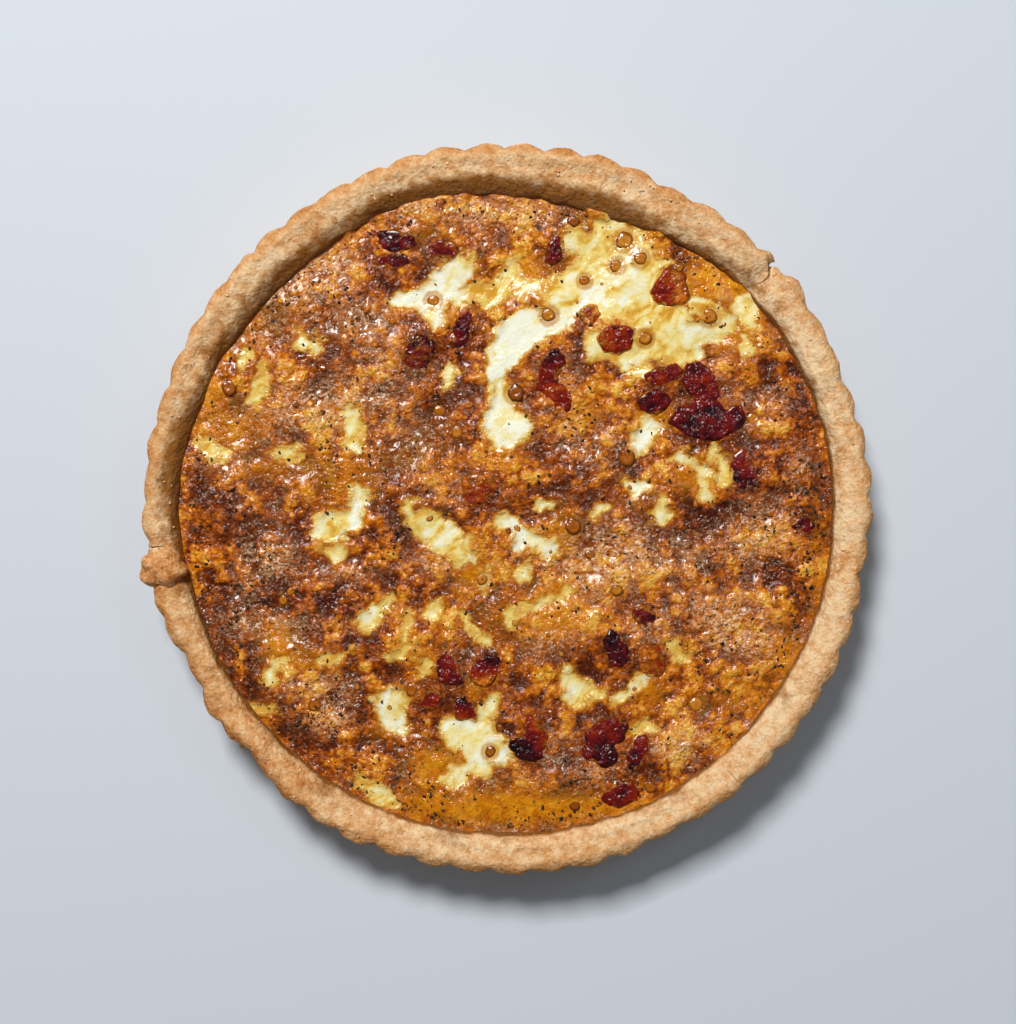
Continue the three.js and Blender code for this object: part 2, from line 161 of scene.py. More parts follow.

# Browning: x, y, half width, half height in pixels, and how much darker (below 0 lighter). The entries
# at 378, 740, at 350, 742 and at 445, 792 are painted shadow along the lower edges of cream patches.
BROWNING_AND_SHADOW = (
    (505, 808, 90, 16, -0.25), (620, 800, 50, 12, -0.15), (700, 770, 30, 16, -0.1),
    (215, 500, 26, 16, 0.5), (248, 528, 16, 16, 0.5), (335, 607, 50, 26, 0.35), (262, 655, 20, 16, 0.4),
    (265, 575, 34, 22, 0.3), (405, 598, 22, 20, 0.35), (420, 425, 28, 26, 0.4),
    (465, 400, 16, 24, 0.35), (455, 445, 20, 16, 0.3), (482, 490, 24, 18, 0.4),
    (590, 470, 26, 22, 0.35), (570, 440, 22, 14, 0.3), (620, 455, 14, 14, 0.4), (745, 470, 22, 34, 0.5),
    (712, 505, 40, 12, 0.55), (690, 528, 22, 14, 0.3), (772, 555, 14, 16, 0.5), (750, 582, 18, 10, 0.5),
    (700, 615, 20, 22, 0.35), (660, 550, 22, 14, 0.25), (770, 380, 24, 26, 0.35),
    (785, 330, 12, 18, 0.4), (375, 285, 18, 14, 0.3), (310, 385, 26, 22, 0.25),
    # The last two entries on this line and the first on the next are painted shadow below cream
    # patches.
    (275, 375, 14, 20, 0.25), (345, 360, 22, 14, 0.2), (378, 740, 34, 14, 0.4), (350, 742, 14, 12, 0.3),
    (445, 792, 34, 8, 0.5), (328, 715, 16, 20, 0.3), (410, 350, 22, 26, 0.3), (630, 655, 24, 28, 0.3),
    (455, 690, 30, 22, 0.3), (530, 745, 22, 12, 0.4), (640, 760, 18, 18, 0.35), (815, 515, 14, 30, 0.3),
    (720, 600, 22, 22, 0.2), (505, 735, 6, 6, 0.2), (230, 610, 16, 40, 0.25), (560, 265, 12, 12, 0.1),
    (520, 475, 20, 12, -0.3), (575, 605, 44, 20, -0.25), (235, 538, 22, 16, -0.2),
    (410, 682, 16, 16, -0.2), (240, 440, 30, 14, -0.3), (715, 730, 28, 14, -0.3),
    (690, 708, 18, 12, -0.3), (790, 592, 18, 18, -0.2), (750, 345, 24, 14, -0.25),
    (310, 415, 34, 18, -0.25), (480, 215, 60, 16, -0.3), (405, 215, 30, 14, -0.3),
    (330, 265, 24, 18, -0.15), (600, 560, 40, 24, -0.3), (760, 530, 26, 22, -0.2),
    (740, 632, 34, 20, -0.25), (430, 560, 24, 14, -0.2), (680, 745, 34, 16, -0.2),
    (520, 300, 60, 40, -0.25), (610, 390, 28, 24, -0.25), (560, 640, 34, 18, -0.25),
    (440, 620, 30, 20, -0.25), (395, 640, 24, 22, -0.2), (290, 335, 30, 20, -0.1),
    (255, 395, 20, 30, -0.1), (570, 800, 60, 16, -0.05), (735, 690, 30, 20, -0.1),
    (545, 570, 24, 12, -0.2), (395, 500, 30, 20, 0.4), (560, 792, 34, 14, 0.6),
)

# Redder browning: x, y, half width, half height in pixels, amount.
REDDISH = (
    (320, 610, 44, 24, 1.0), (270, 340, 28, 18, 0.7), (485, 490, 24, 18, 1.0), (720, 510, 44, 18, 0.8),
    (345, 642, 26, 14, 0.8), (745, 480, 14, 30, 0.8), (655, 395, 20, 16, 0.8), (560, 380, 26, 24, 0.5),
    (300, 460, 34, 24, 0.4), (640, 640, 20, 16, 0.5), (245, 470, 20, 12, 0.6), (440, 655, 30, 24, 0.6),
    (785, 400, 20, 34, 0.5), (620, 330, 24, 18, 0.6), (690, 760, 30, 18, 0.4),
)

# Clear yellow oil: x, y, half width, half height in pixels, amount.
OIL = (
    (500, 812, 80, 12, 0.9), (600, 806, 50, 10, 0.8), (420, 800, 20, 10, 0.6), (745, 285, 16, 12, 0.9),
    (712, 285, 30, 16, 1.0), (740, 330, 22, 14, 0.6), (472, 575, 14, 10, 1.0), (278, 640, 18, 16, 0.7),
    (475, 685, 10, 12, 0.6), (440, 765, 30, 18, 0.8), (650, 692, 12, 14, 0.7), (545, 285, 34, 24, 0.5),
    (525, 265, 14, 12, 0.6), (660, 418, 14, 16, 0.7), (505, 458, 20, 10, 0.5), (585, 410, 18, 16, 0.4),
    (515, 410, 10, 8, 0.8), (300, 660, 30, 14, 0.5), (260, 470, 40, 10, 0.4), (430, 660, 20, 16, 0.5),
    (750, 700, 40, 16, 0.5), (730, 340, 40, 12, 0.4), (510, 800, 60, 20, 0.5), (560, 590, 30, 14, 0.5),
    (640, 500, 16, 10, 0.4), (690, 475, 20, 16, 0.6), (580, 225, 18, 16, 0.5), (640, 250, 20, 14, 0.6),
    (420, 450, 26, 20, 0.3), (240, 730, 30, 20, 0.4), (790, 660, 16, 30, 0.5), (820, 580, 10, 60, 0.4),
    (470, 560, 20, 10, 0.5), (385, 730, 16, 12, 0.4), (560, 530, 16, 22, 0.5), (350, 470, 40, 16, 0.3),
    (465, 275, 14, 20, 0.6), (236, 428, 26, 18, 0.6), (562, 616, 26, 12, 0.6), (205, 395, 26, 40, 0.5),
    (255, 320, 30, 24, 0.4), (718, 276, 26, 20, 0.8), (330, 480, 40, 26, 0.35), (520, 620, 40, 24, 0.4),
    (420, 230, 40, 14, 0.3),
)

# Dry, bubbled, paler cheese with many small glints: x, y, half width, half height, amount. Where it
# lies, the colour also carries painted glints and painted sheen.
FROTH = (
    (410, 207, 20, 10, 1.0), (480, 212, 40, 14, 0.6), (540, 215, 26, 14, 0.5), (330, 265, 26, 20, 1.0),
    (288, 288, 22, 18, 0.8), (355, 318, 34, 20, 0.9), (305, 415, 46, 24, 0.7), (225, 460, 30, 8, 0.6),
    (270, 335, 24, 12, 0.5), (400, 430, 24, 30, 0.2), (430, 470, 26, 22, 0.15), (600, 560, 46, 32, 1.0),
    (760, 530, 30, 26, 1.0), (740, 632, 42, 24, 0.8), (560, 644, 34, 12, 0.3), (320, 685, 36, 10, 0.6),
    (268, 560, 26, 24, 0.8), (252, 622, 24, 10, 0.9), (330, 715, 18, 16, 0.9), (440, 558, 34, 14, 0.6),
    (700, 555, 30, 20, 0.6), (640, 540, 30, 14, 0.7), (680, 748, 30, 12, 0.6), (350, 575, 30, 10, 0.5),
    (285, 625, 20, 10, 0.5), (780, 400, 14, 20, 0.6), (720, 610, 30, 18, 0.6), (590, 440, 26, 30, 0.5),
    (560, 375, 22, 20, 0.5), (740, 400, 16, 16, 0.4), (390, 360, 30, 22, 0.5), (350, 395, 40, 16, 0.5),
    (650, 625, 24, 14, 0.6), (800, 470, 14, 24, 0.5), (600, 770, 30, 12, 0.4), (505, 830, 60, 8, 0.5),
    (545, 745, 16, 18, 0.5), (450, 260, 24, 12, 0.4),
)

# Blisters and drops of fat: x, y, radius in pixels.
BLISTERS = (
    (433, 300, 7), (516, 392, 10), (549, 315, 8), (574, 220, 7), (617, 265, 7), (625, 240, 10),
    (640, 258, 8), (645, 338, 8), (440, 410, 8), (457, 432, 8), (573, 526, 9), (617, 590, 7),
    (482, 580, 7), (626, 457, 10), (710, 316, 9), (411, 690, 8), (229, 388, 8), (314, 705, 8),
    (697, 705, 9), (754, 420, 8), (490, 752, 6), (500, 728, 5), (305, 505, 6), (590, 555, 6),
    (735, 742, 6), (650, 788, 7), (575, 806, 6), (425, 735, 6), (283, 600, 6), (585, 280, 6),
)

# Herb and pepper: x, y, half width, half height in pixels, how dense.
PEPPER = (
    (815, 500, 16, 60, 3.0), (812, 590, 16, 40, 4.0), (790, 650, 14, 30, 2.0), (712, 316, 12, 12, 3.0),
    (250, 528, 18, 22, 3.5), (222, 615, 18, 40, 3.5), (240, 680, 20, 24, 2.5), (270, 735, 26, 20, 2.5),
    (325, 725, 20, 24, 3.0), (355, 770, 20, 12, 3.0), (432, 822, 22, 10, 4.0), (625, 457, 12, 12, 3.0),
    (630, 785, 40, 16, 1.8), (560, 820, 60, 12, 1.5), (510, 832, 30, 8, 2.0), (275, 300, 24, 20, 2.0),
    (320, 460, 16, 20, 2.0), (380, 540, 24, 16, 2.0), (190, 550, 14, 40, 2.2), (200, 490, 20, 40, 1.8),
    (270, 560, 20, 20, 1.6), (380, 450, 30, 20, 1.4), (670, 790, 30, 10, 2.0), (730, 690, 30, 16, 1.5),
    (700, 560, 30, 20, 1.2), (760, 480, 24, 20, 1.5), (780, 400, 14, 30, 1.2), (420, 770, 26, 20, 1.5),
    (330, 600, 60, 30, 0.9), (455, 385, 20, 16, 1.2), (560, 430, 30, 20, 1.0), (400, 800, 30, 14, 1.6),
    (750, 740, 20, 14, 1.5), (690, 650, 30, 20, 1.0), (340, 300, 30, 20, 0.9), (370, 285, 14, 14, 1.6),
)

# Bacon, in millimetres.
BACON_SPREAD = 1.2               # how far a baked piece reaches past its solid
BACON_FLATTEN = 0.8              # what is left of its height above the filling
BACON_CELL = 0.32                # size of the squares of its mesh

# How each bacon piece is baked, in the order of the solids: tone at one end and at the other,
# from 0 charred through 0.4 wine red and 0.7 orange red to 1 amber, heading in degrees,
# and how far cheese hides it.
BACON_TONES = (
    (0.42, 0.26, 300, 0), (0.60, 0.15, 270, 0.1), (0.58, 0.50, 0, 0.1), (0.44, 0.36, 90, 0),
    (0.60, 0.90, 0, 0), (0.70, 0.64, 0, 0), (0.98, 0.84, 0, 0), (0.28, 0.72, 270, 0),
    (0.46, 0.26, 90, 0.15), (0.30, 0.20, 90, 0), (0.24, 0.34, 270, 0.42), (0.42, 0.22, 0, 0.2),
    (0.36, 0.26, 0, 0.2), (0.56, 0.44, 270, 0.3), (0.86, 0.74, 270, 0.45), (0.52, 0.30, 270, 0.2),
    (0.86, 0.24, 90, 0.1), (0.22, 0.62, 270, 0.1), (0.50, 0.62, 30, 0.2), (0.44, 0.20, 300, 0),
    (0.02, 0.80, 60, 0), (0.10, 0.54, 60, 0), (0.44, 0.36, 0, 0), (0.12, 0.32, 300, 0.15),
    (0.84, 0.80, 0, 0.4), (0.46, 0.40, 0, 0.35), (0.30, 0.22, 0, 0.25),
)

# Stage, in metres unless it says otherwise.
FLOOR_REACH = 3
SENSOR = 36                      # width of the camera's sensor, in millimetres
CAMERA_ASIDE = (0.13, -1.07)     # how far the camera stands off the middle, in millimetres

# Square soft lights: name, place, size, power, colour, whether they show in the gloss.
LIGHTS = (
    ("key", (-0.40, 0.98, 1.60), 0.44, 38.0, (0.99, 0.975, 0.97), True),
    ("window", (0.45, 0.35, 0.9), 0.25, 0.5, (0.86, 0.92, 1.0), True),
    ("soft", (0.0, -0.2, 1.5), 1.4, 1.6, (0.95, 0.97, 1.0), False),
)

# Odd numbers that stir a lattice corner into a random number of 32 bits.
STIR = (374761393, 668265263, 2246822519)
STIR_SEED = 2654435761
WORD = 0xFFFFFFFF


def swell(angle, bumps):
    """Sum of rounded bumps round the crust: each has an angle, a half width, a height."""
    total = np.zeros_like(angle)
    for centre, half_width, amount in bumps:
        away = (angle - centre + 180) % 360 - 180
        total += amount * np.exp(-((away / half_width) ** 2))
    return total


def spread_round(angle, bumps):
    """As swell, but never past the tallest bump there."""
    return np.max([swell(angle, (bump,)) for bump in bumps], axis=0)


def ease(value, low, high):
    """0 below low, 1 above high and a smooth rise between."""
    t = np.clip((value - low) / (high - low), 0, 1)
    return t * t * (3 - 2 * t)


def lattice(*corner, seed):
    """A random number from -1 to 1 for each corner of a square or cubic lattice."""
    mixed = np.full(corner[0].shape, seed * STIR_SEED % (WORD + 1), np.uint64)
    for part, factor in zip(corner, STIR):
        mixed = (mixed ^ (part.astype(np.int64) & WORD).astype(np.uint64)) * np.uint64(factor)
        mixed &= np.uint64(WORD)
        mixed ^= mixed >> np.uint64(15)
    mixed = (mixed * np.uint64(STIR[-1])) & np.uint64(WORD)
    mixed ^= mixed >> np.uint64(13)
    return mixed.astype(float) / (WORD / 2) - 1


def cloud(cell, seed, *place):
    """Smooth noise from -1 to 1 with one swell in each cell, in two or three directions."""
    scaled = [axis / cell + 17.31 * (seed + k) for k, axis in enumerate(place)]
    base = [np.floor(axis) for axis in scaled]
    blend = [ease(axis - low, 0, 1) for axis, low in zip(scaled, base)]
    total = 0
    for corner in np.ndindex(*(2,) * len(place)):
        weight = 1
        for step, part in zip(corner, blend):
            weight = weight * (part if step else 1 - part)
        total = total + weight * lattice(*(b + s for b, s in zip(base, corner)), seed=seed)
    return total


def bubbles(cell, seed, x, y):
    """Rounded domes from 0 to 1, one in each cell and of uneven sizes."""
    u, v = x / cell, y / cell
    highest = np.zeros_like(u)
    for i in (-1, 0, 1):
        for j in (-1, 0, 1):
            a, b = np.floor(u) + i, np.floor(v) + j
            across = u - a - 0.5 - 0.38 * lattice(a, b, seed=seed)
            along = v - b - 0.5 - 0.38 * lattice(a, b, seed=seed + 1)
            size = 0.55 + 0.2 * lattice(a, b, seed=seed + 2)
            dome = 1 - (across ** 2 + along ** 2) / size ** 2
            highest = np.maximum(highest, np.sqrt(np.clip(dome, 0, 1)) * size / 0.75)
    return highest


def spots(x, y, patches):
    """Sum of soft oval patches given in the photograph's pixels."""
    total = np.zeros_like(x)
    for px, py, half_width, half_height, amount in patches:
        cx, cy = from_pixel(px, py)
        away = ((x - cx) / (half_width * FILLING_SCALE)) ** 2
        away += ((y - cy) / (half_height * FILLING_SCALE)) ** 2
        total += amount * np.exp(-0.9 * away)
    return total


def from_pixel(px, py):
    """A place on the filling, in millimetres, from the photograph's pixels."""
    return (px - MIDDLE_PIXEL[0]) * FILLING_SCALE, (MIDDLE_PIXEL[1] - py) * FILLING_SCALE


def outer_radius(angle):
    """Radius of the rim's outer edge at each angle, in millimetres, without its flutes."""
    return SIZES["rim_radius"] + swell(angle, RIM_SWELLS)


def filling_radius(angle):
    """Radius at which the filling meets the wall, in millimetres."""
    return SIZES["filling_radius"] + swell(angle, WALL_LEANS)


def heading_of(x, y):
    """Angle of each place round the quiche, in degrees."""
    return np.degrees(np.arctan2(y, x))


def wall_distance(x, y):
    """Distance from each place on the filling out to the inner wall."""
    return filling_radius(heading_of(x, y)) - np.hypot(x, y)


def dough_grain(angle, along):
    """Gentle waves round the rim, from -1 to 1."""
    a = np.radians(angle)
    waves = np.sin(5 * a + 1.3 * along) + np.sin(13 * a - 2.1 * along + 1)
    return (waves + np.sin(29 * a + 0.7 * along + 2)) / 3


def crust_section(angle):
    """Corner points of the crust's section at each angle, as (angle, point, radius and height)."""
    outer = outer_radius(angle)
    inner = filling_radius(angle)
    foot = outer - SIZES["side_lean"]
    scallop = np.abs(np.cos(np.radians((angle - FIRST_FLUTE) * FLUTE_COUNT / 2))) ** 0.8
    a = np.radians(angle)
    worn = 1 + 0.4 * cloud(22, 5, outer * np.cos(a), outer * np.sin(a))
    flute = FLUTE_DEPTH * worn * (scallop - 0.6)
    crest = SIZES["rim_height"] + 0.44 * dough_grain(angle, 0)
    shoulder = outer - SHOULDER_INSET
    grain = 0.22 * dough_grain(angle, 3)
    level = SIZES["filling_level"]
    base = SIZES["base_thickness"]
    nought = np.zeros_like(angle)
    points = (
        (nought, nought),
        (foot - FOOT_ROUND, nought),
        (foot + 0.8 * flute, nought + 1.2),
        (outer - 0.9 + flute, crest - 5.5),
        (outer + flute + grain, crest - 2.9),
        (outer - 1.2 + 0.5 * flute, crest - 0.9),
        (outer - CREST_INSET, crest),
        (shoulder, crest - 0.8 + grain),
        ((shoulder + inner) / 2, (crest + level) / 2 + 0.9 - grain),
        (inner, nought + level - 0.6),
        (inner - WALL_FOOT, nought + base),
        (nought, nought + base),
    )
    return np.stack([np.stack(point, -1) for point in points], -2)


def smooth_path(corners, steps):
    """Rounded path through corner points, with its number of steps between each two."""
    last = corners.shape[-2] - 1
    rows = []
    for i, step_count in enumerate(steps):
        start = corners[..., i, :]
        way = corners[..., i + 1, :] - start
        length = np.linalg.norm(way, axis=-1, keepdims=True)
        heads = []
        for k in (i, i + 1):
            head = (corners[..., min(k + 1, last), :] - corners[..., max(k - 1, 0), :]) / 2
            long = np.linalg.norm(head, axis=-1, keepdims=True)
            heads.append(head * np.minimum(1, length / long))
        leave, arrive = heads
        for t in np.arange(step_count) / step_count:
            bend = 3 * way - 2 * leave - arrive
            turn = leave + arrive - 2 * way
            rows.append(start + leave * t + bend * t * t + turn * t ** 3)
    rows.append(corners[..., -1, :])
    return np.stack(rows, -2)


def filling_height(x, y):
    """Long swells of the filling's top, in millimetres above the underside."""
    height = np.full_like(x, SIZES["filling_level"])
    for i, (wavelength, rise) in enumerate(RELIEF):
        heading = (i + 1) * GOLDEN_ANGLE
        along = x * math.cos(heading) + y * math.sin(heading)
        height += rise * np.sin(2 * math.pi * along / wavelength + 2.4 * i)
    return height - EDGE_DIP * (1 - ease(wall_distance(x, y), 0, EDGE_BAND))


def bacon_names():
    """The bacon solids, in order."""
    return sorted(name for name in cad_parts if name.startswith("bacon_"))


def nearest_in_plan(x, y, others):
    """Distance from each place to the nearest of some others, seen from above."""
    tree = KDTree(len(others))
    for i, other in enumerate(others):
        tree.insert((other[0], other[1], 0), i)
    tree.balance()
    found = [tree.find((u, v, 0))[2] for u, v in zip(x.ravel(), y.ravel())]
    return np.array(found).reshape(x.shape)


def near_bacon(x, y):
    """Distance from each place to the nearest corner of a bacon solid, in millimetres."""
    corners = np.concatenate([mesh_places(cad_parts[name].data) for name in bacon_names()])
    return nearest_in_plan(x, y, np.unique(corners / MM, axis=0))


def cream_fields(x, y):
    """How far inside a cream patch each place lies, in millimetres, and how white it is."""
    wx = x + 1.6 * cloud(6, 31, x, y) + 1.3 * cloud(2.8, 33, x, y)
    wy = y + 1.6 * cloud(6, 32, x, y) + 1.3 * cloud(2.8, 34, x, y)
    inside = np.full_like(x, -8.0)
    white = np.zeros_like(x)
    for x1, y1, half_1, x2, y2, half_2, whiteness in CREAM:
        ax, ay = from_pixel(x1, y1)
        bx, by = from_pixel(x2, y2)
        dx, dy = bx - ax, by - ay
        t = np.clip(((wx - ax) * dx + (wy - ay) * dy) / (dx * dx + dy * dy), 0, 1)
        half = FILLING_SCALE * (half_1 + (half_2 - half_1) * t)
        depth = half - np.hypot(wx - ax - t * dx, wy - ay - t * dy)
        inside = np.maximum(inside, depth)
        white = np.maximum(white, whiteness * ease(depth, -1.5, 0.9))
    streak = cloud(2.4, 35, (wx - wy) * 0.8, (wx + wy) * 0.25)
    streak += 0.7 * cloud(1.5, 36, wx - wy, (wx + wy) * 0.4)
    inside += 0.7 * cloud(1.6, 37, x, y)
    return np.clip(inside, -4, 4), 0.92 * white + 0.38 * streak


def fat_rings(x, y):
    """Amber colour of fat round each named blister, strongest at its foot."""
    total = np.zeros_like(x)
    for px, py, radius in BLISTERS:
        cx, cy = from_pixel(px, py)
        beyond = np.hypot(x - cx, y - cy) - radius * FILLING_SCALE
        total = np.maximum(total, np.exp(-((beyond / 1.3) ** 2)))
    return total


def filling_fields(x, y):
    """Height and surface masks of the filling at places in millimetres."""
    inside, white = cream_fields(x, y)
    cream = ease(inside, -1.6, 1.6)
    froth = spots(x, y, FROTH) + 0.18 * cloud(10, 43, x, y)
    froth = np.clip(froth * (1 - cream), 0, 1)
    oil = np.clip(spots(x, y, OIL), 0, 1)
    marks = spots(x, y, BROWNING_AND_SHADOW)
    brown = 0.63 + np.where(marks > 0, 0.46, 0.8) * marks
    brown += 0.13 * cloud(9, 41, x, y) + 0.2 * cloud(4.5, 42, x, y)
    wx, wy = x + 0.8 * cloud(3, 50, x, y), y + 0.8 * cloud(3, 57, x, y)
    lumps = 0.3 * (1 - 2 * np.abs(cloud(7.5, 51, x, y))) + 0.25 * cloud(3.6, 52, x, y)
    lumps += 0.78 * bubbles(3.9, 58, wx, wy) * ease(cloud(8, 59, x, y), -0.5, 0.3)
    lumps += 0.5 * bubbles(2.3, 61, wx, wy) * ease(cloud(6, 62, x, y) + froth, -0.5, 0.4)
    lumps += 0.12 * cloud(1.4, 53, x, y) - 0.38
    near = near_bacon(x, y)
    calm = (1 - 0.6 * oil) * (0.35 + 0.65 * ease(near, 0.5, 3.5))
    fine = lumps * calm * (1 - cream) + 0.16 * cloud(3.5, 55, x - y, 0.35 * (x + y)) * cream
    to_wall = wall_distance(x, y)
    bank = np.exp(-((near / 1.8) ** 2)) * (0.6 + 0.8 * cloud(3.1, 63, x, y))
    brown += 0.25 * bank
    height = filling_height(x, y) + fine * ease(to_wall, -1.5, 5)
    height = height - CREAM_SINK * cream + BACON_BANK * bank
    height += (0.35 * cloud(3.1, 56, x, y) + 0.3 * cloud(7, 64, x, y)) * (1 - ease(to_wall, 0, 4))
    stuck = swell(heading_of(x, y), STUCK) * np.clip(cloud(4.5, 65, x, y), 0, 1)
    height += stuck * (1 - ease(to_wall, 0.3, 2.8))
    # The hollow mask is painted shade: it is higher where the relief lies low between lumps.
    return {
        "height": height, "cream": inside, "white": white, "froth": froth, "oil": oil,
        "brown": np.clip(brown, 0, 1), "hollow_shade": np.clip(0.5 - 1.2 * fine, 0, 1),
        "red": np.clip(spots(x, y, REDDISH), 0, 1), "fat": fat_rings(x, y) * (0.3 + 0.7 * cream),
    }


def mesh_places(mesh):
    """Places of the vertices, in metres."""
    co = np.empty(len(mesh.vertices) * 3)
    mesh.vertices.foreach_get("co", co)
    return co.reshape(-1, 3)


def set_places(mesh, places):
    mesh.vertices.foreach_set("co", np.ascontiguousarray(places, float).ravel())
    mesh.update()


def set_masks(mesh, **masks):
    """Stores numbers on the vertices by name, for the materials to read."""
    for name, values in masks.items():
        layer = mesh.attributes.new(name, "FLOAT", "POINT")
        spread = np.broadcast_to(values, len(mesh.vertices))
        layer.data.foreach_set("value", np.ascontiguousarray(spread, np.float32))


def mesh_from(bm, name):
    mesh = bpy.data.meshes.new(name)
    bm.to_mesh(mesh)
    bm.free()
    return mesh


def close_seams(mesh):
    """Merges the vertices that meet at seams and poles, and points the faces outwards."""
    bm = bmesh.new()
    bm.from_mesh(mesh)
    bmesh.ops.remove_doubles(bm, verts=bm.verts, dist=SEAM)
    bmesh.ops.dissolve_degenerate(bm, edges=bm.edges, dist=SEAM)
    bmesh.ops.recalc_face_normals(bm, faces=bm.faces)
    bm.to_mesh(mesh)
    bm.free()
    mesh.update()


def grid_mesh(name, across, along):
    """A grid of squares with corners at whole numbers, and the column and row of each."""
    bm = bmesh.new()
    bmesh.ops.create_grid(bm, x_segments=across, y_segments=along, size=1)
    mesh = mesh_from(bm, name)
    places = mesh_places(mesh)
    column = np.rint((places[:, 0] + 1) / 2 * across).astype(int)
    row = np.rint((places[:, 1] + 1) / 2 * along).astype(int)
    return mesh, column, row


def finish_piece(name, mesh, material, slot, *nodes):
    """A smooth-shaded piece that moves with the quiche and stands for the named solids."""
    mesh.name = name
    mesh.shade_smooth()
    mesh.materials.clear()
    mesh.materials.append(material)
    piece = bpy.data.objects.new(name, mesh)
    bpy.context.scene.collection.objects.link(piece)
    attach(piece, "root")
    if nodes:
        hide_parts(*nodes)
    return piece


def apply_modifiers(piece):
    graph = bpy.context.evaluated_depsgraph_get()
    mesh = bpy.data.meshes.new_from_object(piece.evaluated_get(graph))
    piece.modifiers.clear()
    old = piece.data
    piece.data = mesh
    bpy.data.meshes.remove(old)


def split_blade(split, seed):
    """Jagged wedge that opens a split in the rim: thin below and inside, wide at its mouth."""
    angle, width, reach, depth, _ = split
    outside = float(outer_radius(np.array(float(angle)))) + 4
    bm = bmesh.new()
    bmesh.ops.create_cube(bm, size=2)
    bm.edges.ensure_lookup_table()
    long_edges = [e for e in bm.edges if abs(e.verts[0].co.x - e.verts[1].co.x) > 1]
    bmesh.ops.subdivide_edges(bm, edges=long_edges, cuts=16, use_grid_fill=True)
    mesh = mesh_from(bm, "split_blade")
    places = mesh_places(mesh)
    t = (places[:, 0] + 1) / 2
    along = outside - (1 - t) * (reach + 4)
    top = (places[:, 2] + 1) / 2
    opening = width * (0.12 + 0.88 * t) * (0.12 + 0.88 * top) * 0.6
    wander = (0.25 + 0.35 * width) * cloud(2.6, seed, along, top * 0.7)
    aside = wander + places[:, 1] * opening
    height = SIZES["rim_height"] + 2.5 - (1 - top) * (2.5 + depth * (0.35 + 0.65 * t))
    a = math.radians(angle)
    x = along * math.cos(a) - aside * math.sin(a)
    y = along * math.sin(a) + aside * math.cos(a)
    set_places(mesh, np.stack((x, y, height), -1) * MM)
    close_seams(mesh)
    return mesh


def cut_away(piece, blades):
    """Cuts the blades out of a piece and removes them."""
    holders = []
    for i, blade in enumerate(blades):
        cutter = bpy.data.objects.new(f"blade_{i}", blade)
        bpy.context.scene.collection.objects.link(cutter)
        holders.append(cutter)
        cut = piece.modifiers.new("split", "BOOLEAN")
        cut.operation = "DIFFERENCE"
        cut.solver = "MANIFOLD"
        cut.object = cutter
    apply_modifiers(piece)
    for cutter in holders:
        blade = cutter.data
        bpy.data.objects.remove(cutter)
        bpy.data.meshes.remove(blade)


def crust_mesh():
    """The whole crust: fluted side, rounded rim, inner wall and base, with baked unevenness."""
    around = FLUTE_COUNT * STEPS_PER_FLUTE
    mesh, column, row = grid_mesh("crust", around, sum(SECTION_STEPS))
    angle = 360.0 * np.arange(around) / around
    path = smooth_path(crust_section(angle), SECTION_STEPS)
    radius, height = path[..., 0], np.maximum(path[..., 1], 0)
    a = np.radians(angle)[:, None]
    for centre, _, _, _, slump in SPLITS:
        away = ((angle - centre + 180) % 360 - 180)[:, None] * math.pi / 180 * radius
        dip = slump * np.exp(-((away / LIP_WIDTH) ** 2)) * ease(height, 15, 27)
        height = height - dip
        radius = radius - 0.5 * dip * ease(radius, 108, 114)
    places = np.stack((radius * np.cos(a), radius * np.sin(a), height), -1)
    ahead = np.roll(places, -1, 0) - np.roll(places, 1, 0)
    upward = np.gradient(places, axis=1)
    normal = np.cross(ahead, upward)
    normal /= np.maximum(np.linalg.norm(normal, axis=-1, keepdims=True), 1e-9)
    x, y, z = places[..., 0], places[..., 1], places[..., 2]
    rough = 0.42 * cloud(13, 61, x, y, z) + 0.3 * cloud(5.6, 62, x, y, z)
    rough += 0.24 * cloud(2.8, 63, x, y, z) + 0.16 * cloud(1.4, 64, x, y, z)
    shown = ease(height, 0.5, 4) * ease(radius, 92, 97)
    under = 0.16 * cloud(9, 65, x, y) + 0.1 * cloud(3, 66, x, y)
    beneath = (1 - ease(height, 0.2, 1.5)) * ease(radius, 3, 8)
    places = places + normal * (rough * shown)[..., None]
    places[..., 2] += beneath * np.maximum(under, 0)
    side = ease(radius, 104, 113) * ease(height, 1, 24)
    toast = 0.5 + 0.35 * cloud(16, 67, x, y, z) + 0.2 * cloud(6, 68, x, y, z)
    toast += swell(angle, TOASTED)[:, None]
    outside = (radius - outer_radius(angle)[:, None] + 4.5) / 4.5
    edge = ease(outside, 0, 1)
    to_wall = radius - filling_radius(angle)[:, None]
    # Fat in the dough of the inner wall, with painted shade on its north and west side where it faces
    # away from the light; the last term darkens a thin band all round where the filling meets the wall.
    soak_and_shade = spread_round(angle, SOAK_AND_SHADE)[:, None] + 0.3 * cloud(7, 69, x, y)
    stain = np.clip(soak_and_shade, 0, 1) * (1 - ease(to_wall, 1.0, 10.5)) + 0.8 * (1 - ease(to_wall, 0, 1.4))
    index = (column % around, row)
    set_places(mesh, places[index] * MM)
    set_masks(mesh, toast=np.clip(toast, 0, 1)[index], edge=edge[index], side=side[index],
              stain=np.clip(stain, 0, 1)[index], lump=rough[index])
    close_seams(mesh)
    return mesh


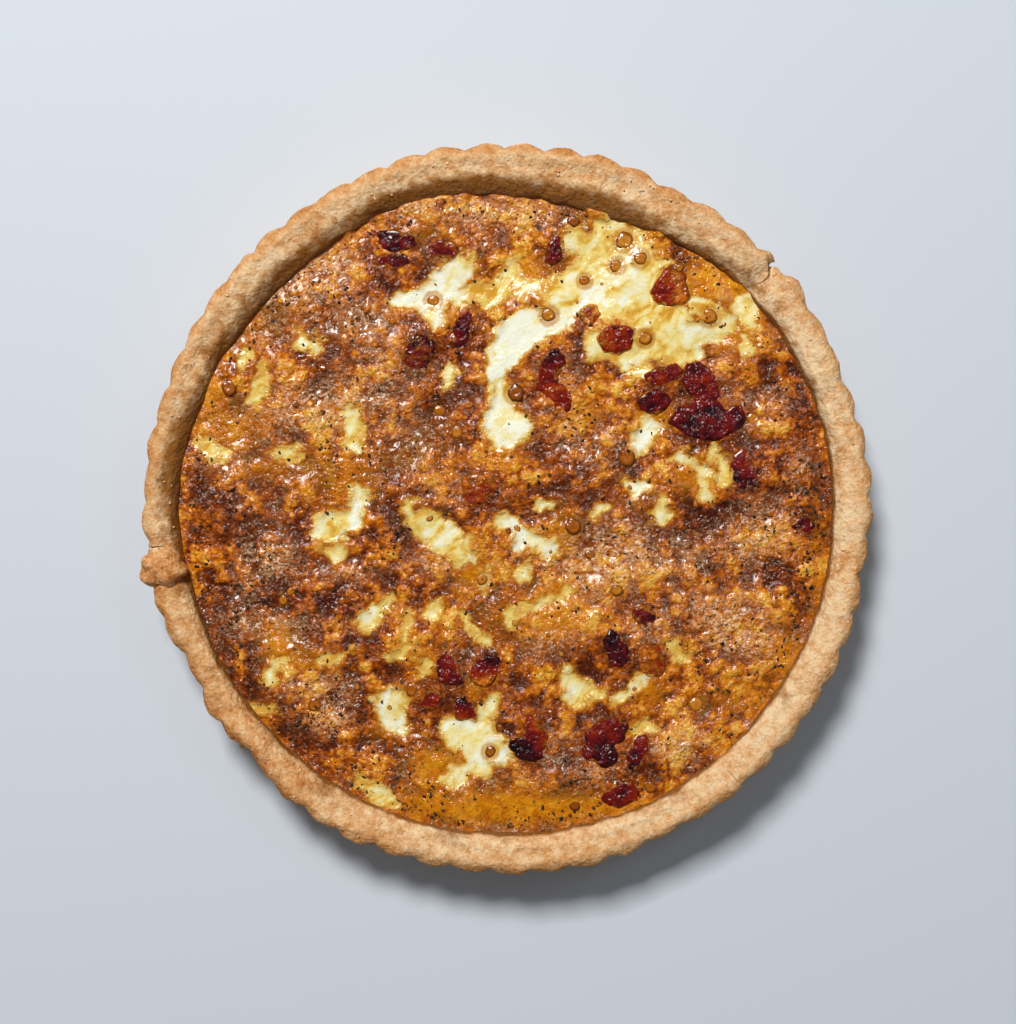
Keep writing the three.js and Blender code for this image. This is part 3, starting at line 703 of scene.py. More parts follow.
def flap_mesh():
    """The flap of dough folded over the rim."""
    bm = bmesh.new()
    bmesh.ops.create_icosphere(bm, subdivisions=6, radius=1)
    mesh = mesh_from(bm, "flap")
    ball = mesh_places(mesh)
    x, y, z = FOLD["long"] * ball[:, 0], FOLD["wide"] * ball[:, 1], FOLD["deep"] * ball[:, 2]
    lump = 1 + 0.05 * np.sin(0.9 * x + 0.6 * y) + 0.04 * np.sin(1.1 * y - 0.5 * z)
    crease = 0.09 * np.exp(-(((y - 0.35 * x + 1.6) / 0.8) ** 2)) * ease(z, 0, 3)
    lump += 0.07 * cloud(4, 71, x, y, z) + 0.035 * cloud(1.9, 72, x, y, z) - crease
    lump += 0.014 * cloud(0.9, 73, x, y, z)
    x, y, z = FOLD["radius"] + x * lump, y * lump, z * lump * (1 - 0.03 * x)
    a = math.radians(FOLD["angle"])
    z = z + SIZES["rim_height"] - FOLD["below"]
    places = np.stack((x * math.cos(a) - y * math.sin(a), x * math.sin(a) + y * math.cos(a), z), -1)
    set_places(mesh, places * MM)
    toast = np.clip(0.8 + 0.3 * cloud(5, 74, x, y, z), 0, 1)
    set_masks(mesh, toast=toast, edge=0.9, side=0.0, lump=4 * (lump - 1))
    return mesh


def settle_order(parts, kept, place):
    """Puts the parts after the first ones in order of place, as operators add them in any order."""
    parts.index_update()
    slant = Vector((1.0, 1.7, 31.0))
    parts.sort(key=lambda part: part.index if part.index < kept else kept + 9 + place(part).dot(slant))


def filling_mesh():
    """The filling as one closed solid: an uneven top, a wall against the crust, a flat base."""
    mesh, column, row = grid_mesh("filling", FILLING_CELLS, FILLING_CELLS)
    u = 2 * column / FILLING_CELLS - 1
    v = 2 * row / FILLING_CELLS - 1
    x = u * np.sqrt(1 - v * v / 2)
    y = v * np.sqrt(1 - u * u / 2)
    reach = filling_radius(heading_of(x, y)) + WALL_TUCK
    x, y = x * reach, y * reach
    set_places(mesh, np.stack((x, y, filling_fields(x, y)["height"]), -1) * MM)
    bm = bmesh.new()
    bm.from_mesh(mesh)
    top_corners, top_squares = len(bm.verts), len(bm.faces)
    rim = [edge for edge in bm.edges if edge.is_boundary]
    for depth, inset in ((6.0, 0.2), (12.0, 2.2), (5.5, WALL_FOOT + 0.8)):
        grown = bmesh.ops.extrude_edge_only(bm, edges=rim)["geom"]
        rim = [part for part in grown if isinstance(part, bmesh.types.BMEdge)]
        for vert in {v for edge in rim for v in edge.verts}:
            outward = Vector((vert.co.x, vert.co.y, 0)).normalized()
            flat = filling_radius(heading_of(vert.co.x, vert.co.y))
            vert.co = outward * (float(flat) - inset) * MM + Vector((0, 0, vert.co.z - depth * MM))
    floor = (SIZES["base_thickness"] + 0.3) * MM
    for vert in {v for edge in rim for v in edge.verts}:
        vert.co.z = floor
    bmesh.ops.edgeloop_fill(bm, edges=rim)
    bmesh.ops.triangulate(bm, faces=[face for face in bm.faces if len(face.verts) > 4])
    bmesh.ops.recalc_face_normals(bm, faces=bm.faces)
    settle_order(bm.verts, top_corners, lambda vert: vert.co)
    settle_order(bm.faces, top_squares, lambda face: face.calc_center_median())
    bm.to_mesh(mesh)
    bm.free()
    places = mesh_places(mesh) / MM
    fields = filling_fields(places[:, 0], places[:, 1])
    del fields["height"]
    set_masks(mesh, **fields)
    return mesh


def blister_mesh(draw):
    """Domes of fat and cheese on the filling, the named large ones and many small ones."""
    bm = bmesh.new()
    named = [(*from_pixel(px, py), 0.88 * radius * FILLING_SCALE) for px, py, radius in BLISTERS]
    small = []
    while len(small) < SMALL_BLISTERS:
        radius = BLISTER_REACH * math.sqrt(draw.random())
        heading = 2 * math.pi * draw.random()
        size = 0.45 + 0.9 * draw.random() ** 2
        small.append((radius * math.cos(heading), radius * math.sin(heading), size))
    spread = np.array(named + small)
    fields = filling_fields(spread[:, 0], spread[:, 1])
    level = fields["height"]
    pale = 0.9 - fields["brown"] + 0.5 * ease(fields["cream"], -1, 1)
    kept = np.flatnonzero((fields["cream"] < -0.5) | (np.arange(len(spread)) % 4 == 0))
    kept = np.union1d(kept, np.arange(len(named)))
    spread, level, pale = spread[kept], level[kept], pale[kept]
    counts = []
    for (x, y, radius), z in zip(spread, level):
        high = radius * (0.15 + 0.1 * draw.random()) + 0.12
        turn = Matrix.Rotation(FULL_TURN * draw.random(), 4, "Z")
        place = Matrix.Translation(Vector((x, y, z - 0.05)) * MM) @ turn
        long = radius * (0.85 + 0.3 * draw.random())
        scale = Matrix.Diagonal((long * MM, radius * MM, high * MM, 1))
        detail = 4 if radius > 1.5 else 3
        made = bmesh.ops.create_icosphere(bm, subdivisions=detail, radius=1, matrix=place @ scale)
        counts.append(len(made["verts"]))
    mesh = mesh_from(bm, "blisters")
    places = mesh_places(mesh) / MM
    crown = np.zeros(len(places))
    tint = np.zeros(len(places))
    start = 0
    for (x, y, radius), light, count in zip(spread, pale, counts):
        part = places[start:start + count]
        away = np.hypot(part[:, 0] - x, part[:, 1] - y) / radius
        crown[start:start + count] = 1 - np.clip(away, 0, 1)
        tint[start:start + count] = 0.6 * draw.random() + 0.4 * light
        sunk = 0.16 * radius * draw.random()
        part[:, 2] -= sunk * np.exp(-((away / 0.45) ** 2))
        start += count
    x, y = places[:, 0].copy(), places[:, 1].copy()
    for k in (0, 1):
        places[:, k] += 0.34 * cloud(2.6, 96 + k, x, y) + 0.14 * cloud(1.1, 98 + k, x, y)
    set_places(mesh, places * MM)
    set_masks(mesh, crown=crown, tint=tint)
    return mesh


def add_grain(bm, place, turn, half_sizes, detail):
    """A small ball, stretched and turned, at a place in millimetres."""
    whole = Matrix.Scale(MM, 4) @ Matrix.Translation(place) @ turn.to_matrix().to_4x4()
    whole = whole @ Matrix.Diagonal((*half_sizes, 1))
    bmesh.ops.create_icosphere(bm, subdivisions=detail, radius=1, matrix=whole)


def flake_mesh(draw, count):
    """Dark flakes of herb and pepper, closer together where the photograph shows them so."""
    found = []
    while len(found) < count:
        radius = FLAKE_REACH * np.sqrt(draw.random(FLAKE_DRAWS))
        heading = 2 * math.pi * draw.random(FLAKE_DRAWS)
        x, y = radius * np.cos(heading), radius * np.sin(heading)
        wall = filling_radius(np.degrees(heading)) - radius
        fields = filling_fields(x, y)
        dense = 0.34 + spots(x, y, PEPPER) + 0.9 * np.exp(-((wall - 3) / 3) ** 2)
        dense *= 1 - 0.8 * ease(fields["cream"], -0.5, 1)
        clump = 0.5 + 0.5 * cloud(3.4, 81, x, y)
        kept = (draw.random(FLAKE_DRAWS) * 3.5 < dense * clump * 1.3) & (wall > 0.6)
        for one in np.flatnonzero(kept):
            found.append((x[one], y[one], fields["height"][one]))
    bm = bmesh.new()
    shade = []
    for x, y, z in found[:count]:
        size = 0.2 + 0.42 * draw.random() ** 2.2
        turn = Euler((0.5 * draw.normal(), 0.5 * draw.normal(), FULL_TURN * draw.random()))
        half_sizes = (size * (1 + 0.9 * draw.random()), size, size * 0.5)
        add_grain(bm, (x, y, z + 0.1 * size), turn, half_sizes, 1)
        shade.append(draw.random())
    mesh = mesh_from(bm, "flakes")
    corners = len(mesh.vertices) // len(shade)
    places = mesh_places(mesh) / MM
    x, y, z = places.T
    chipped = [0.16 * cloud(0.42, seed, x, y, z) for seed in (83, 84, 85)]
    set_places(mesh, (places + np.stack(chipped, -1)) * MM)
    set_masks(mesh, shade=np.repeat(shade, corners))
    return mesh


def bacon_mesh(node, tones, seed):
    """A bacon piece: its solid rounded, flattened and wrinkled, with cheese baked over its foot."""
    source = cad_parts[node].data.copy()
    close_seams(source)
    widen = np.array([(vert.normal.x, vert.normal.y, 0) for vert in source.vertices])
    widen /= np.maximum(np.linalg.norm(widen, axis=1, keepdims=True), 0.35)
    set_places(source, mesh_places(source) + widen * BACON_SPREAD * MM)
    piece = bpy.data.objects.new("bacon_work", source)
    bpy.context.scene.collection.objects.link(piece)
    even = piece.modifiers.new("even", "REMESH")
    even.mode = "VOXEL"
    even.voxel_size = BACON_CELL * MM
    even.use_smooth_shade = True
    apply_modifiers(piece)
    mesh = piece.data
    bm = bmesh.new()
    bm.from_mesh(mesh)
    for _ in range(3):
        bmesh.ops.smooth_vert(bm, verts=bm.verts, factor=0.5,
                              use_axis_x=True, use_axis_y=True, use_axis_z=True)
    bm.normal_update()
    normal = np.array([vert.normal[:] for vert in bm.verts])
    bm.to_mesh(mesh)
    bm.free()
    places = mesh_places(mesh) / MM
    x, y, z = places.T
    wrinkle = 0.2 * cloud(3.4, seed, x, y, z) + 0.12 * cloud(1.6, seed + 1, x, y, z)
    wrinkle += 0.07 * cloud(0.8, seed + 2, x, y, z) + 0.1
    pulled = [0.65 * cloud(3.6, seed + k, x, y) + 0.32 * cloud(1.7, seed, x, y) for k in (6, 7)]
    pulled = np.stack(pulled + [0 * x], -1)
    places = places + pulled + normal * wrinkle[:, None]
    surface = filling_height(x, y)
    lift = places[:, 2] - surface
    places[:, 2] = surface + np.where(lift > 0, BACON_FLATTEN * lift, lift)
    set_places(mesh, places * MM)
    spread = np.stack((x - x.mean(), y - y.mean()))
    _, axes = np.linalg.eigh(spread @ spread.T)
    across, along = axes.T @ spread
    bent = across + 0.5 * np.sin(along * 0.7 + seed)
    fibre = cloud(0.75, seed + 4, bent, along * 0.16) + 0.6 * cloud(2.6, seed + 5, x, y)
    start, end, heading, hidden = tones
    toward = x * math.cos(math.radians(heading)) + y * math.sin(math.radians(heading))
    t = ease(toward, toward.min(), toward.max())
    tone = start + (end - start) * t + 0.16 * cloud(3.2, seed + 3, x, y)
    inward = nearest_in_plan(x, y, places[np.abs(normal[:, 2]) < 0.3])
    cover = 1 - ease(inward + 0.5 * cloud(2.4, seed + 8, x, y), 0.1, 1.5)
    covered = np.maximum(cover, 1 - ease(lift, 0.1, 0.6)) + hidden
    creamy = ease(cream_fields(x, y)[0], -2.0, 0.5)
    set_masks(mesh, fibre=0.5 + 0.5 * fibre, tone=tone, covered=covered, creamy=creamy)
    bpy.data.objects.remove(piece)
    return mesh


def crumb_mesh(draw):
    """Loose crumbs of pastry caught on the rim and at its outer edge."""
    bm = bmesh.new()
    scattered = []
    for _ in range(SMALL_CRUMBS):
        angle = 360 * draw.random()
        a = math.radians(angle)
        radius = float(outer_radius(np.array(angle))) - 1.5 - 8 * draw.random()
        scattered.append((radius * math.cos(a), radius * math.sin(a), None))
    for x, y, z in (*LARGE_CRUMBS, *scattered):
        size = 0.9 if z else 0.2 + 0.3 * draw.random() ** 2
        turn = Euler(tuple(FULL_TURN * draw.random(3)))
        place = (x, y, z if z else rim_height_at(x, y))
        add_grain(bm, place, turn, (size * 1.4, size, size * 0.7), 2)
    mesh = mesh_from(bm, "crumbs")
    places = mesh_places(mesh)
    x, y, z = (places / MM).T
    places[:, 2] += 0.12 * MM * cloud(0.5, 91, x, y, z)
    set_places(mesh, places)
    set_masks(mesh, toast=0.25, edge=0.0, side=0.0, lump=0.3)
    return mesh


def rim_height_at(x, y):
    """Height of the rim's top surface at one place, in millimetres."""
    angle = np.array([math.degrees(math.atan2(y, x)) % 360])
    path = smooth_path(crust_section(angle), SECTION_STEPS)[0]
    top = path[path[:, 1] > SIZES["filling_level"] - 1]
    nearest = np.argmin(np.abs(top[:, 0] - math.hypot(x, y)))
    return float(top[nearest, 1])


def srgb(red, green, blue):
    """A colour as seen in a picture, 0 to 255, as the shader's linear values."""
    levels = [part / 255 for part in (red, green, blue)]
    linear = [v / 12.92 if v <= 0.04045 else ((v + 0.055) / 1.055) ** 2.4 for v in levels]
    return (*linear, 1.0)


class Value:
    """A shader socket that takes part in sums: each operation adds a Math node."""

    def __init__(self, finish, socket):
        self.finish = finish
        self.socket = socket

    def _math(self, operation, first, second):
        return self.finish.node("ShaderNodeMath", {"operation": operation}, {0: first, 1: second})

    def __add__(self, other):
        return self._math("ADD", self, other)

    __radd__ = __add__

    def __sub__(self, other):
        return self._math("SUBTRACT", self, other)

    def __rsub__(self, other):
        return self._math("SUBTRACT", other, self)

    def __mul__(self, other):
        return self._math("MULTIPLY", self, other)

    __rmul__ = __mul__


class Finish:
    """A material under construction."""

    def __init__(self, name):
        self.material = bpy.data.materials.new(name)
        self.material.use_nodes = True
        self.tree = self.material.node_tree
        self.tree.nodes.clear()

    def node(self, kind, settings=(), sockets=(), output=0):
        """Adds a node with its settings and inputs, and gives one of its outputs."""
        made = self.tree.nodes.new(kind)
        for name, value in dict(settings).items():
            setattr(made, name, value)
        for name, value in dict(sockets).items():
            if isinstance(value, Value):
                self.tree.links.new(value.socket, made.inputs[name])
            else:
                made.inputs[name].default_value = value
        return Value(self, made.outputs[output])

    def place(self):
        return self.node("ShaderNodeTexCoord", output="Object")

    def mask(self, name):
        return self.node("ShaderNodeAttribute", {"attribute_name": name}, output="Fac")

    def noise(self, cell, detail=2.0, roughness=0.5, warp=0.0):
        """Noise from 0 to 1 whose swells are about a cell across, in millimetres."""
        sockets = {"Vector": self.place(), "Scale": 1 / (cell * MM), "Detail": detail,
                   "Roughness": roughness, "Distortion": warp}
        return self.node("ShaderNodeTexNoise", {}, sockets, "Fac")

    def grains(self, cell):
        """Distance to the nearest of many grains about a cell apart, 0 at each."""
        sockets = {"Vector": self.place(), "Scale": 1 / (cell * MM)}
        return self.node("ShaderNodeTexVoronoi", {}, sockets, "Distance")

    def domes(self, cell, reach):
        """Rounded domes about a cell apart, 1 at their middles."""
        return self.ease(self.grains(cell), 0.0, reach, 1.0, 0.0)

    def ease(self, value, low, high, start=0.0, end=1.0):
        sockets = {0: value, 1: low, 2: high, 3: start, 4: end}
        return self.node("ShaderNodeMapRange", {"interpolation_type": "SMOOTHSTEP"}, sockets)

    def mix(self, factor, first, second):
        settings = {"data_type": "RGBA", "clamp_factor": True}
        return self.node("ShaderNodeMix", settings, {0: factor, 6: first, 7: second}, 2)

    def ramp(self, value, stops):
        """Colour by value: each stop is a position and the red, green and blue of a picture."""
        made = self.node("ShaderNodeValToRGB", {}, {0: value}, "Color")
        elements = made.socket.node.color_ramp.elements
        while len(elements) < len(stops):
            elements.new(0.5)
        for element, (position, *colour) in zip(elements, stops):
            element.position = position
            element.color = srgb(*colour)
        return made

    def bump(self, height, distance, strength=1.0):
        sockets = {"Height": height, "Distance": distance * MM, "Strength": strength}
        return self.node("ShaderNodeBump", {}, sockets, "Normal")

    def skin(self, middle, fine, beading):
        """Height of a skin of small domes and beads that glints all over, from 0 to about 1."""
        domes = self.domes(2.1, 0.62)
        beads = self.domes(1.25, 0.6)
        folds = self.noise(1.7, 1.0, 0.5, 1.0)
        return domes * 0.2 + beads * beading + middle * 0.7 + folds * 0.42 + fine * 0.12

    def close(self, **sockets):
        """Ends the material in one surface shader and returns it."""
        named = {name.replace("_", " "): value for name, value in sockets.items()}
        surface = self.node("ShaderNodeBsdfPrincipled", {}, named, "BSDF")
        out = self.tree.nodes.new("ShaderNodeOutputMaterial")
        self.tree.links.new(surface.socket, out.inputs["Surface"])
        return self.material


def pastry_finish():
    """Sandy baked shortcrust: pale and crumbly, toasted along its outer edge."""
    make = Finish("baked_pastry")
    mottle = make.noise(3.4, 3.0, 0.6)
    fine = make.noise(0.9, 2.0, 0.6)
    tone = make.mask("toast") * 0.45 + make.mask("edge") * 0.3 + (mottle - 0.5) * 1.5
    # Raised lumps are painted lighter and the hollows between them darker: painted shade.
    tone = tone + (fine - 0.5) * 1.0 - make.mask("lump") * 0.22
    colour = make.ramp(tone, [
        (0.0, 246, 214, 168), (0.3, 232, 184, 130), (0.55, 216, 156, 98),
        (0.8, 196, 126, 66), (1.0, 160, 92, 42),
    ])
    flour = make.ease(make.noise(1.2, 3.0, 0.7), 0.56, 0.72)
    colour = make.mix(flour * 0.3, colour, srgb(250, 226, 188))
    colour = make.mix(make.mask("side") * 0.25, colour, srgb(206, 148, 88))
    # The fat ramp gives fat-soaked dough on the inner wall and, on its north and west side, painted
    # shade as well.
    soak_and_shade_level = make.mask("stain") * 1.2 + (mottle - 0.5) * 0.9 - 0.1
    fat = make.ramp(fine, [(0.3, 102, 53, 6), (0.7, 156, 94, 18)])
    colour = make.mix(make.ease(soak_and_shade_level, 0.05, 0.85) * 0.92, colour, fat)
    crumb = make.noise(1.0, 4.0, 0.65) + make.grains(1.5) * 0.4
    normal = make.bump(crumb, 0.7)
    return make.close(Base_Color=colour, Roughness=0.82, Normal=normal, Specular_IOR_Level=0.1)


def filling_finish():
    """Browned cheese over set egg: cream patches, clear yellow oil, bubbled skin that has dried, with
    painted glints, painted sheen and painted shade in its colour.
    """
    make = Finish("browned_filling")
    froth = make.mask("froth")
    oil = make.mask("oil")
    wide = make.noise(7.0, 3.0, 0.55, 0.5)
    middle = make.noise(3.0, 2.0, 0.55, 0.5)
    fine = make.noise(1.1, 2.0, 0.6)
    domes = make.domes(2.1, 0.62)
    tone = make.mask("brown") + (wide - 0.5) * 0.7 + (middle - 0.5) * 0.8
    # Hollows between lumps are painted darker and the tops of the domes lighter: painted shade and
    # painted light.
    tone = tone + (fine - 0.5) * 0.8 + (make.mask("hollow_shade") - 0.5) * 0.62 - domes * 0.2
    browned = make.ramp(tone, [
        (0.0, 230, 172, 66), (0.2, 214, 136, 24), (0.38, 194, 104, 10),
        (0.56, 156, 73, 6), (0.75, 120, 50, 6), (1.0, 78, 28, 6),
    ])
    red = make.ramp(tone, [
        (0.1, 206, 116, 56), (0.5, 150, 62, 22), (0.95, 66, 20, 10),
    ])
    colour = make.mix(make.mask("red") * make.ease(wide, 0.35, 0.6) * 0.8, browned, red)
    # The pale pinkish colour of the dried froth is partly its own and partly painted sheen, standing
    # for many small glints.
    dry_and_sheen = make.ramp(make.noise(1.9, 3.0, 0.6) - domes * 0.1, [
        (0.25, 124, 60, 18), (0.4, 190, 116, 54), (0.58, 234, 182, 130),
    ])
    colour = make.mix(froth * make.ease(middle, 0.34, 0.56) * 0.7, colour, dry_and_sheen)
    # Painted glints: near-white specks, thick on the froth and faint everywhere else.
    painted_glints = make.ease(make.noise(1.3, 2.0, 0.6, 0.8), 0.54, 0.64)
    colour = make.mix((froth * 0.65 + 0.1) * painted_glints, colour, srgb(250, 222, 188))
    amber = make.ramp(middle, [
        (0.3, 182, 98, 4), (0.5, 212, 130, 6), (0.75, 228, 162, 26),
    ])
    colour = make.mix(oil * make.ease(wide + oil * 0.3, 0.34, 0.56) * 0.92, colour, amber)
    inside = make.mask("cream") + (middle - 0.5) * 3.8 + (fine - 0.5) * 1.2 - oil * oil * 4.0
    white = make.mask("white") + (middle - 0.5) * 0.8 + (fine - 0.5) * 0.4
    cream = make.ramp(white, [
        (0.0, 210, 150, 44), (0.2, 226, 186, 84), (0.42, 238, 216, 134),
        (0.68, 240, 230, 178), (0.95, 242, 242, 218),
    ])
    halo = make.ramp(make.ease(inside, -2.4, 0.6), [
        (0.0, 178, 98, 16), (0.5, 206, 138, 38), (1.0, 230, 196, 104),
    ])
    colour = make.mix(make.ease(inside, -2.4, -0.6) * 0.8, colour, halo)
    colour = make.mix(make.ease(inside, -1.3, 2.2), colour, cream)
    drip = make.ramp(middle, [(0.35, 168, 98, 12), (0.65, 206, 144, 36)])
    colour = make.mix(make.ease(make.mask("fat") + (middle - 0.5), 0.2, 0.8) * 0.7, colour, drip)
    pits = make.ease(make.noise(1.9, 2.0, 0.6, 0.6), 0.62, 0.72)
    colour = make.mix(pits * make.ease(inside, 0.5, -1.5) * 0.35, colour, srgb(84, 36, 10))
    specks = make.ease(make.grains(1.1), 0.06, 0.14, 1.0, 0.0)
    where = make.ease(make.noise(7.0, 2.0), 0.4, 0.6)
    colour = make.mix(specks * where * 0.85, colour, srgb(40, 22, 12))
    calm = make.ease(inside, -0.5, 1.0)
    skin = make.skin(middle, fine, froth * 0.3 + 0.15)
    normal = make.bump((skin - 0.72) * (1 - calm * 0.75) * (1 - oil * 0.35), 1.1)
    patchy = make.ease(make.noise(4.5, 2.0), 0.46, 0.6)
    wet = patchy * 0.3 + froth * 0.2 + oil * 0.25 + 0.05
    return make.close(Base_Color=colour, Roughness=0.14 - froth * 0.04 - patchy * 0.03,
                      Normal=normal, Specular_IOR_Level=0.21, Coat_Weight=wet,
                      Coat_Roughness=0.12)


def blister_finish():
    """Drops of amber fat and thin bubbles: darker round the foot, lighter on the crown."""
    make = Finish("amber_blisters")
    crown = make.mask("crown") + (make.noise(1.2) - 0.5) * 0.3
    tint = make.mask("tint") + (make.noise(1.6) - 0.5) * 0.5
    body = make.ramp(tint, [
        (0.1, 142, 70, 8), (0.5, 180, 102, 14), (1.0, 206, 140, 44),
    ])
    foot = make.ramp(tint, [(0.1, 96, 44, 6), (0.9, 140, 78, 12)])
    colour = make.mix(make.ease(crown, 0.05, 0.5), foot, body)
    colour = make.mix(make.ease(crown, 0.6, 0.9) * 0.25, colour, foot)
    normal = make.bump(make.noise(1.8), 0.5)
    return make.close(Base_Color=colour, Roughness=0.15, Normal=normal, Specular_IOR_Level=0.3,
                      Coat_Weight=0.3, Coat_Roughness=0.1)


def flake_finish():
    """Nearly black pepper and dried dark green herb."""
    make = Finish("pepper_and_herb")
    colour = make.ramp(make.mask("shade"), [
        (0.0, 26, 18, 14), (0.5, 46, 28, 16), (0.8, 66, 48, 22),
        (1.0, 98, 62, 30),
    ])
    normal = make.bump(make.noise(0.5, 2.0), 0.1, 0.6)
    return make.close(Base_Color=colour, Roughness=0.45, Normal=normal, Specular_IOR_Level=0.4)


def bacon_finish():
    """Baked bacon: wine-red lean with charred and amber ends, browned over at its edge."""
    make = Finish("baked_bacon")
    fine = make.noise(1.4, 3.0, 0.6, 1.2)
    middle = make.noise(3.2, 2.0)
    tone = make.mask("tone") + (make.mask("fibre") - 0.5) * 0.16
    tone = tone + (fine - 0.5) * 0.5 + (middle - 0.5) * 0.7
    colour = make.ramp(tone, [
        (0.0, 20, 9, 7), (0.2, 56, 13, 18), (0.4, 106, 19, 20),
        (0.56, 116, 27, 10), (0.7, 152, 42, 6), (0.85, 138, 72, 12),
        (1.0, 206, 110, 28),
    ])
    browned = make.ramp(make.noise(1.7, 2.0), [(0.35, 86, 37, 8), (0.65, 166, 94, 22)])
    pale = make.ramp(make.noise(1.7, 2.0), [(0.35, 190, 116, 26), (0.65, 228, 186, 96)])
    browned = make.mix(make.mask("creamy") * 0.9, browned, pale)
    over = make.mask("covered") + (make.noise(2.0, 2.0) - 0.5) * 1.4
    colour = make.mix(make.ease(over, 0.3, 0.8) * 0.92, colour, browned)
    skin = middle * 0.8 + make.noise(1.6, 1.0, 0.5, 0.6) * 0.6 + make.mask("fibre") * 0.12
    wet = make.ease(make.noise(2.2, 2.0), 0.42, 0.56) * 0.4
    return make.close(Base_Color=colour, Roughness=0.13, Normal=make.bump(skin, 1.3),
                      Specular_IOR_Level=0.16, Coat_Weight=wet, Coat_Roughness=0.12)


def floor_finish(colour):
    """The plain pale floor."""
    make = Finish("pale_floor")
    return make.close(Base_Color=colour, Roughness=0.6, Specular_IOR_Level=0.3)


class CrustSettings(bpy.types.PropertyGroup):
    """Sizes of the pastry shell."""

    rim_radius: bpy.props.FloatProperty(
        name="Rim radius", description="Mean outer radius at the rim", default=0.1145, unit="LENGTH")
    rim_height: bpy.props.FloatProperty(
        name="Rim height", description="Crest above the underside", default=0.0275, unit="LENGTH")
    side_lean: bpy.props.FloatProperty(
        name="Side lean", description="How far the side leans in at the foot", default=0.0056,
        unit="LENGTH")
    base_thickness: bpy.props.FloatProperty(
        name="Base thickness", description="Pastry under the filling", default=0.0042, unit="LENGTH")


class FillingSettings(bpy.types.PropertyGroup):
    """Sizes of the filling and what is scattered on it."""

    filling_radius: bpy.props.FloatProperty(
        name="Filling radius", description="Where it meets the wall", default=0.1028, unit="LENGTH")
    filling_level: bpy.props.FloatProperty(
        name="Filling level", description="Mean height of its top", default=0.0226, unit="LENGTH")
    flake_count: bpy.props.IntProperty(
        name="Flakes", description="Number of herb and pepper flakes", default=2600, min=0)
    seed: bpy.props.IntProperty(
        name="Seed", description="Start of the random draws", default=7, min=0)


class StageSettings(bpy.types.PropertyGroup):
    """Floor, camera and lights."""

    camera_height: bpy.props.FloatProperty(
        name="Camera height", description="Camera above the rim", default=0.6, unit="LENGTH")
    view_width: bpy.props.FloatProperty(
        name="View width", description="Width of the view at the rim", default=0.319, unit="LENGTH")
    floor_colour: bpy.props.FloatVectorProperty(
        name="Floor", description="Colour of the plain floor", default=(0.60, 0.65, 0.70),
        subtype="COLOR", size=3, min=0, max=1)


def read_sizes(scene):
    """The user's sizes in millimetres, by name."""
    names = {
        scene.quiche_crust: ("rim_radius", "rim_height", "side_lean", "base_thickness"),
        scene.quiche_filling: ("filling_radius", "filling_level"),
    }
    return {name: getattr(group, name) / MM for group, ns in names.items() for name in ns}


SIZES = {}


class QUICHE_OT_crust(bpy.types.Operator):
    """Build the pastry shell with its splits and the folded flap"""

    bl_idname = "quiche.crust"
    bl_label = "Build crust"

    def execute(self, context):
        SIZES.update(read_sizes(context.scene))
        pastry = pastry_finish()
        shell = finish_piece("baked_crust", crust_mesh(), pastry, "pastry", "crust")
        cut_away(shell, [split_blade(split, 101 + i) for i, split in enumerate(SPLITS)])
        shell.data.shade_smooth()
        finish_piece("folded_flap", flap_mesh(), pastry, "pastry", "crust")
        crumbs = crumb_mesh(np.random.default_rng(context.scene.quiche_filling.seed + 3))
        finish_piece("pastry_crumbs", crumbs, pastry, "pastry")
        return {"FINISHED"}


class QUICHE_OT_filling(bpy.types.Operator):
    """Build the browned filling with its blisters"""

    bl_idname = "quiche.filling"
    bl_label = "Build filling"

    def execute(self, context):
        SIZES.update(read_sizes(context.scene))
        draw = np.random.default_rng(context.scene.quiche_filling.seed)
        finish_piece("browned_filling", filling_mesh(), filling_finish(), "filling", "filling")
        finish_piece("blisters", blister_mesh(draw), blister_finish(), "filling", "filling")
        return {"FINISHED"}


class QUICHE_OT_flakes(bpy.types.Operator):
    """Scatter the herb and pepper flakes"""

    bl_idname = "quiche.flakes"
    bl_label = "Scatter flakes"

    def execute(self, context):
        SIZES.update(read_sizes(context.scene))
        settings = context.scene.quiche_filling
        draw = np.random.default_rng(settings.seed + 1)
        flakes = flake_mesh(draw, settings.flake_count)
        finish_piece("herb_flakes", flakes, flake_finish(), "filling", "filling")
        return {"FINISHED"}


class QUICHE_OT_bacon(bpy.types.Operator):
    """Build the bacon pieces from their solids"""

    bl_idname = "quiche.bacon"
    bl_label = "Build bacon"

    def execute(self, context):
        baked = bacon_finish()
        for i, (name, tones) in enumerate(zip(bacon_names(), BACON_TONES)):
            mesh = bacon_mesh(name, tones, 200 + 5 * i)
            finish_piece(name.replace("bacon", "bacon_piece"), mesh, baked, "bacon", name)
        return {"FINISHED"}


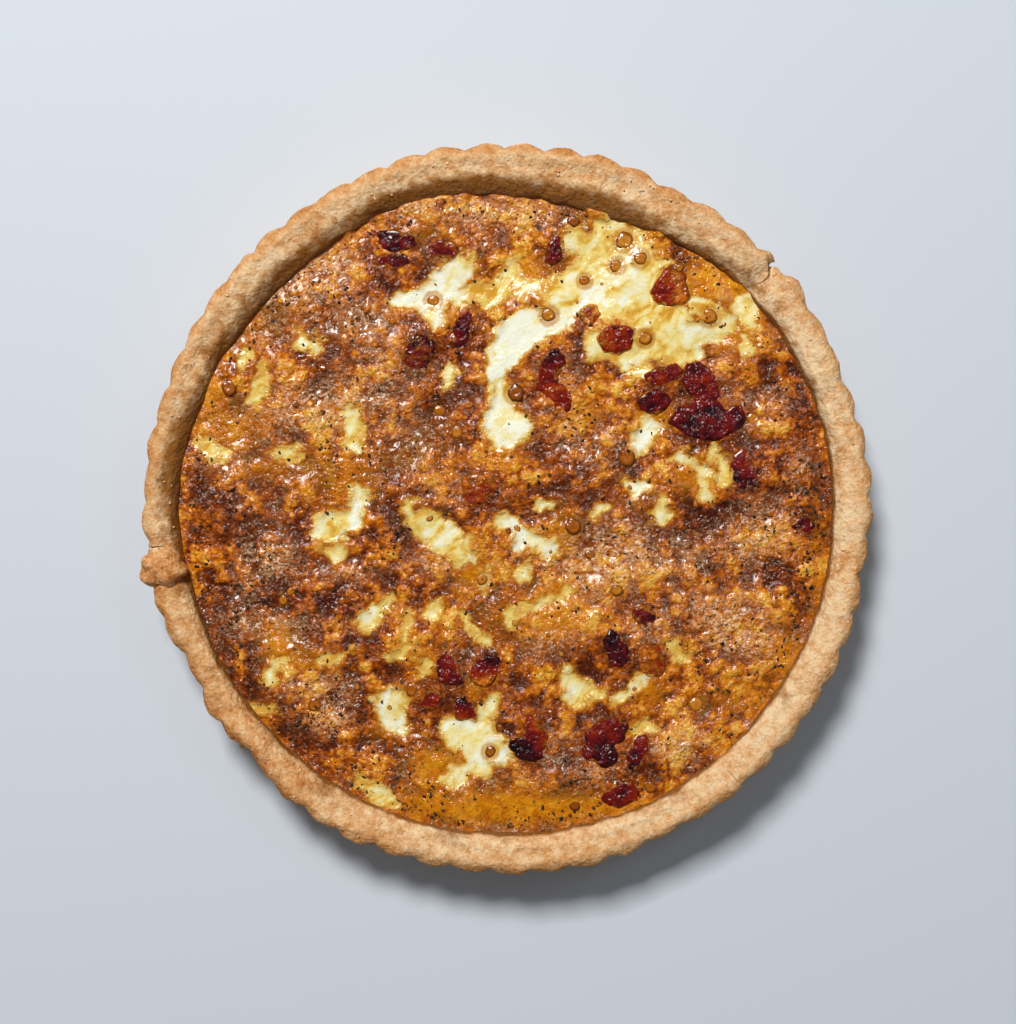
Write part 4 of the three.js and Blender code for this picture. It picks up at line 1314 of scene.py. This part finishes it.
class QUICHE_OT_stage(bpy.types.Operator):
    """Set up the floor, the camera and the lights"""

    bl_idname = "quiche.stage"
    bl_label = "Set the stage"

    def execute(self, context):
        settings = context.scene.quiche_stage
        bm = bmesh.new()
        bmesh.ops.create_grid(bm, x_segments=1, y_segments=1, size=FLOOR_REACH)
        floor = bpy.data.objects.new("floor", mesh_from(bm, "floor"))
        floor.data.materials.append(floor_finish((*settings.floor_colour, 1)))
        context.scene.collection.objects.link(floor)
        rim = context.scene.quiche_crust.rim_height
        camera = bpy.data.cameras.new("camera")
        camera.sensor_fit = "HORIZONTAL"
        camera.sensor_width = SENSOR
        camera.lens = SENSOR * settings.camera_height / settings.view_width
        camera.clip_start = 0.01
        view = bpy.data.objects.new("camera", camera)
        aside, upward = CAMERA_ASIDE
        view.location = (aside * MM, upward * MM, rim + settings.camera_height)
        context.scene.collection.objects.link(view)
        context.scene.camera = view
        for light in LIGHTS:
            self.add_light(*light)
        world = bpy.data.worlds.new("studio")
        world.use_nodes = True
        background = world.node_tree.nodes["Background"]
        background.inputs["Color"].default_value = (0.86, 0.91, 1.0, 1)
        background.inputs["Strength"].default_value = 0.09
        context.scene.world = world
        context.scene.view_settings.view_transform = "Standard"
        return {"FINISHED"}

    @staticmethod
    def add_light(name, place, size, power, colour, mirrored):
        """A square soft light that faces the quiche."""
        data = bpy.data.lights.new(name, "AREA")
        data.size = size
        data.energy = power
        data.color = colour
        lamp = bpy.data.objects.new(name, data)
        lamp.location = place
        lamp.visible_glossy = mirrored
        lamp.rotation_euler = (-Vector(place)).to_track_quat("-Z", "Y").to_euler()
        bpy.context.scene.collection.objects.link(lamp)


class QUICHE_PT_panel(bpy.types.Panel):
    """Lists the steps that build the quiche"""

    bl_idname = "QUICHE_PT_panel"
    bl_label = "Quiche"
    bl_space_type = "VIEW_3D"
    bl_region_type = "UI"
    bl_category = "Quiche"

    def draw(self, context):
        for group in (context.scene.quiche_crust, context.scene.quiche_filling,
                      context.scene.quiche_stage):
            for name in group.__annotations__:
                self.layout.prop(group, name)
        for step in STEPS:
            self.layout.operator(step.bl_idname)


STEPS = (QUICHE_OT_crust, QUICHE_OT_filling, QUICHE_OT_flakes, QUICHE_OT_bacon, QUICHE_OT_stage)
GROUPS = {
    "quiche_crust": CrustSettings,
    "quiche_filling": FillingSettings,
    "quiche_stage": StageSettings,
}


def register():
    for group in (*GROUPS.values(), *STEPS, QUICHE_PT_panel):
        bpy.utils.register_class(group)
    for name, group in GROUPS.items():
        setattr(bpy.types.Scene, name, bpy.props.PointerProperty(type=group))


def unregister():
    for name in GROUPS:
        delattr(bpy.types.Scene, name)
    for group in reversed((*GROUPS.values(), *STEPS, QUICHE_PT_panel)):
        bpy.utils.unregister_class(group)


def main():
    register()
    for step in STEPS:
        group, name = step.bl_idname.split(".")
        getattr(getattr(bpy.ops, group), name)()


if __name__ == "__main__":
    main()
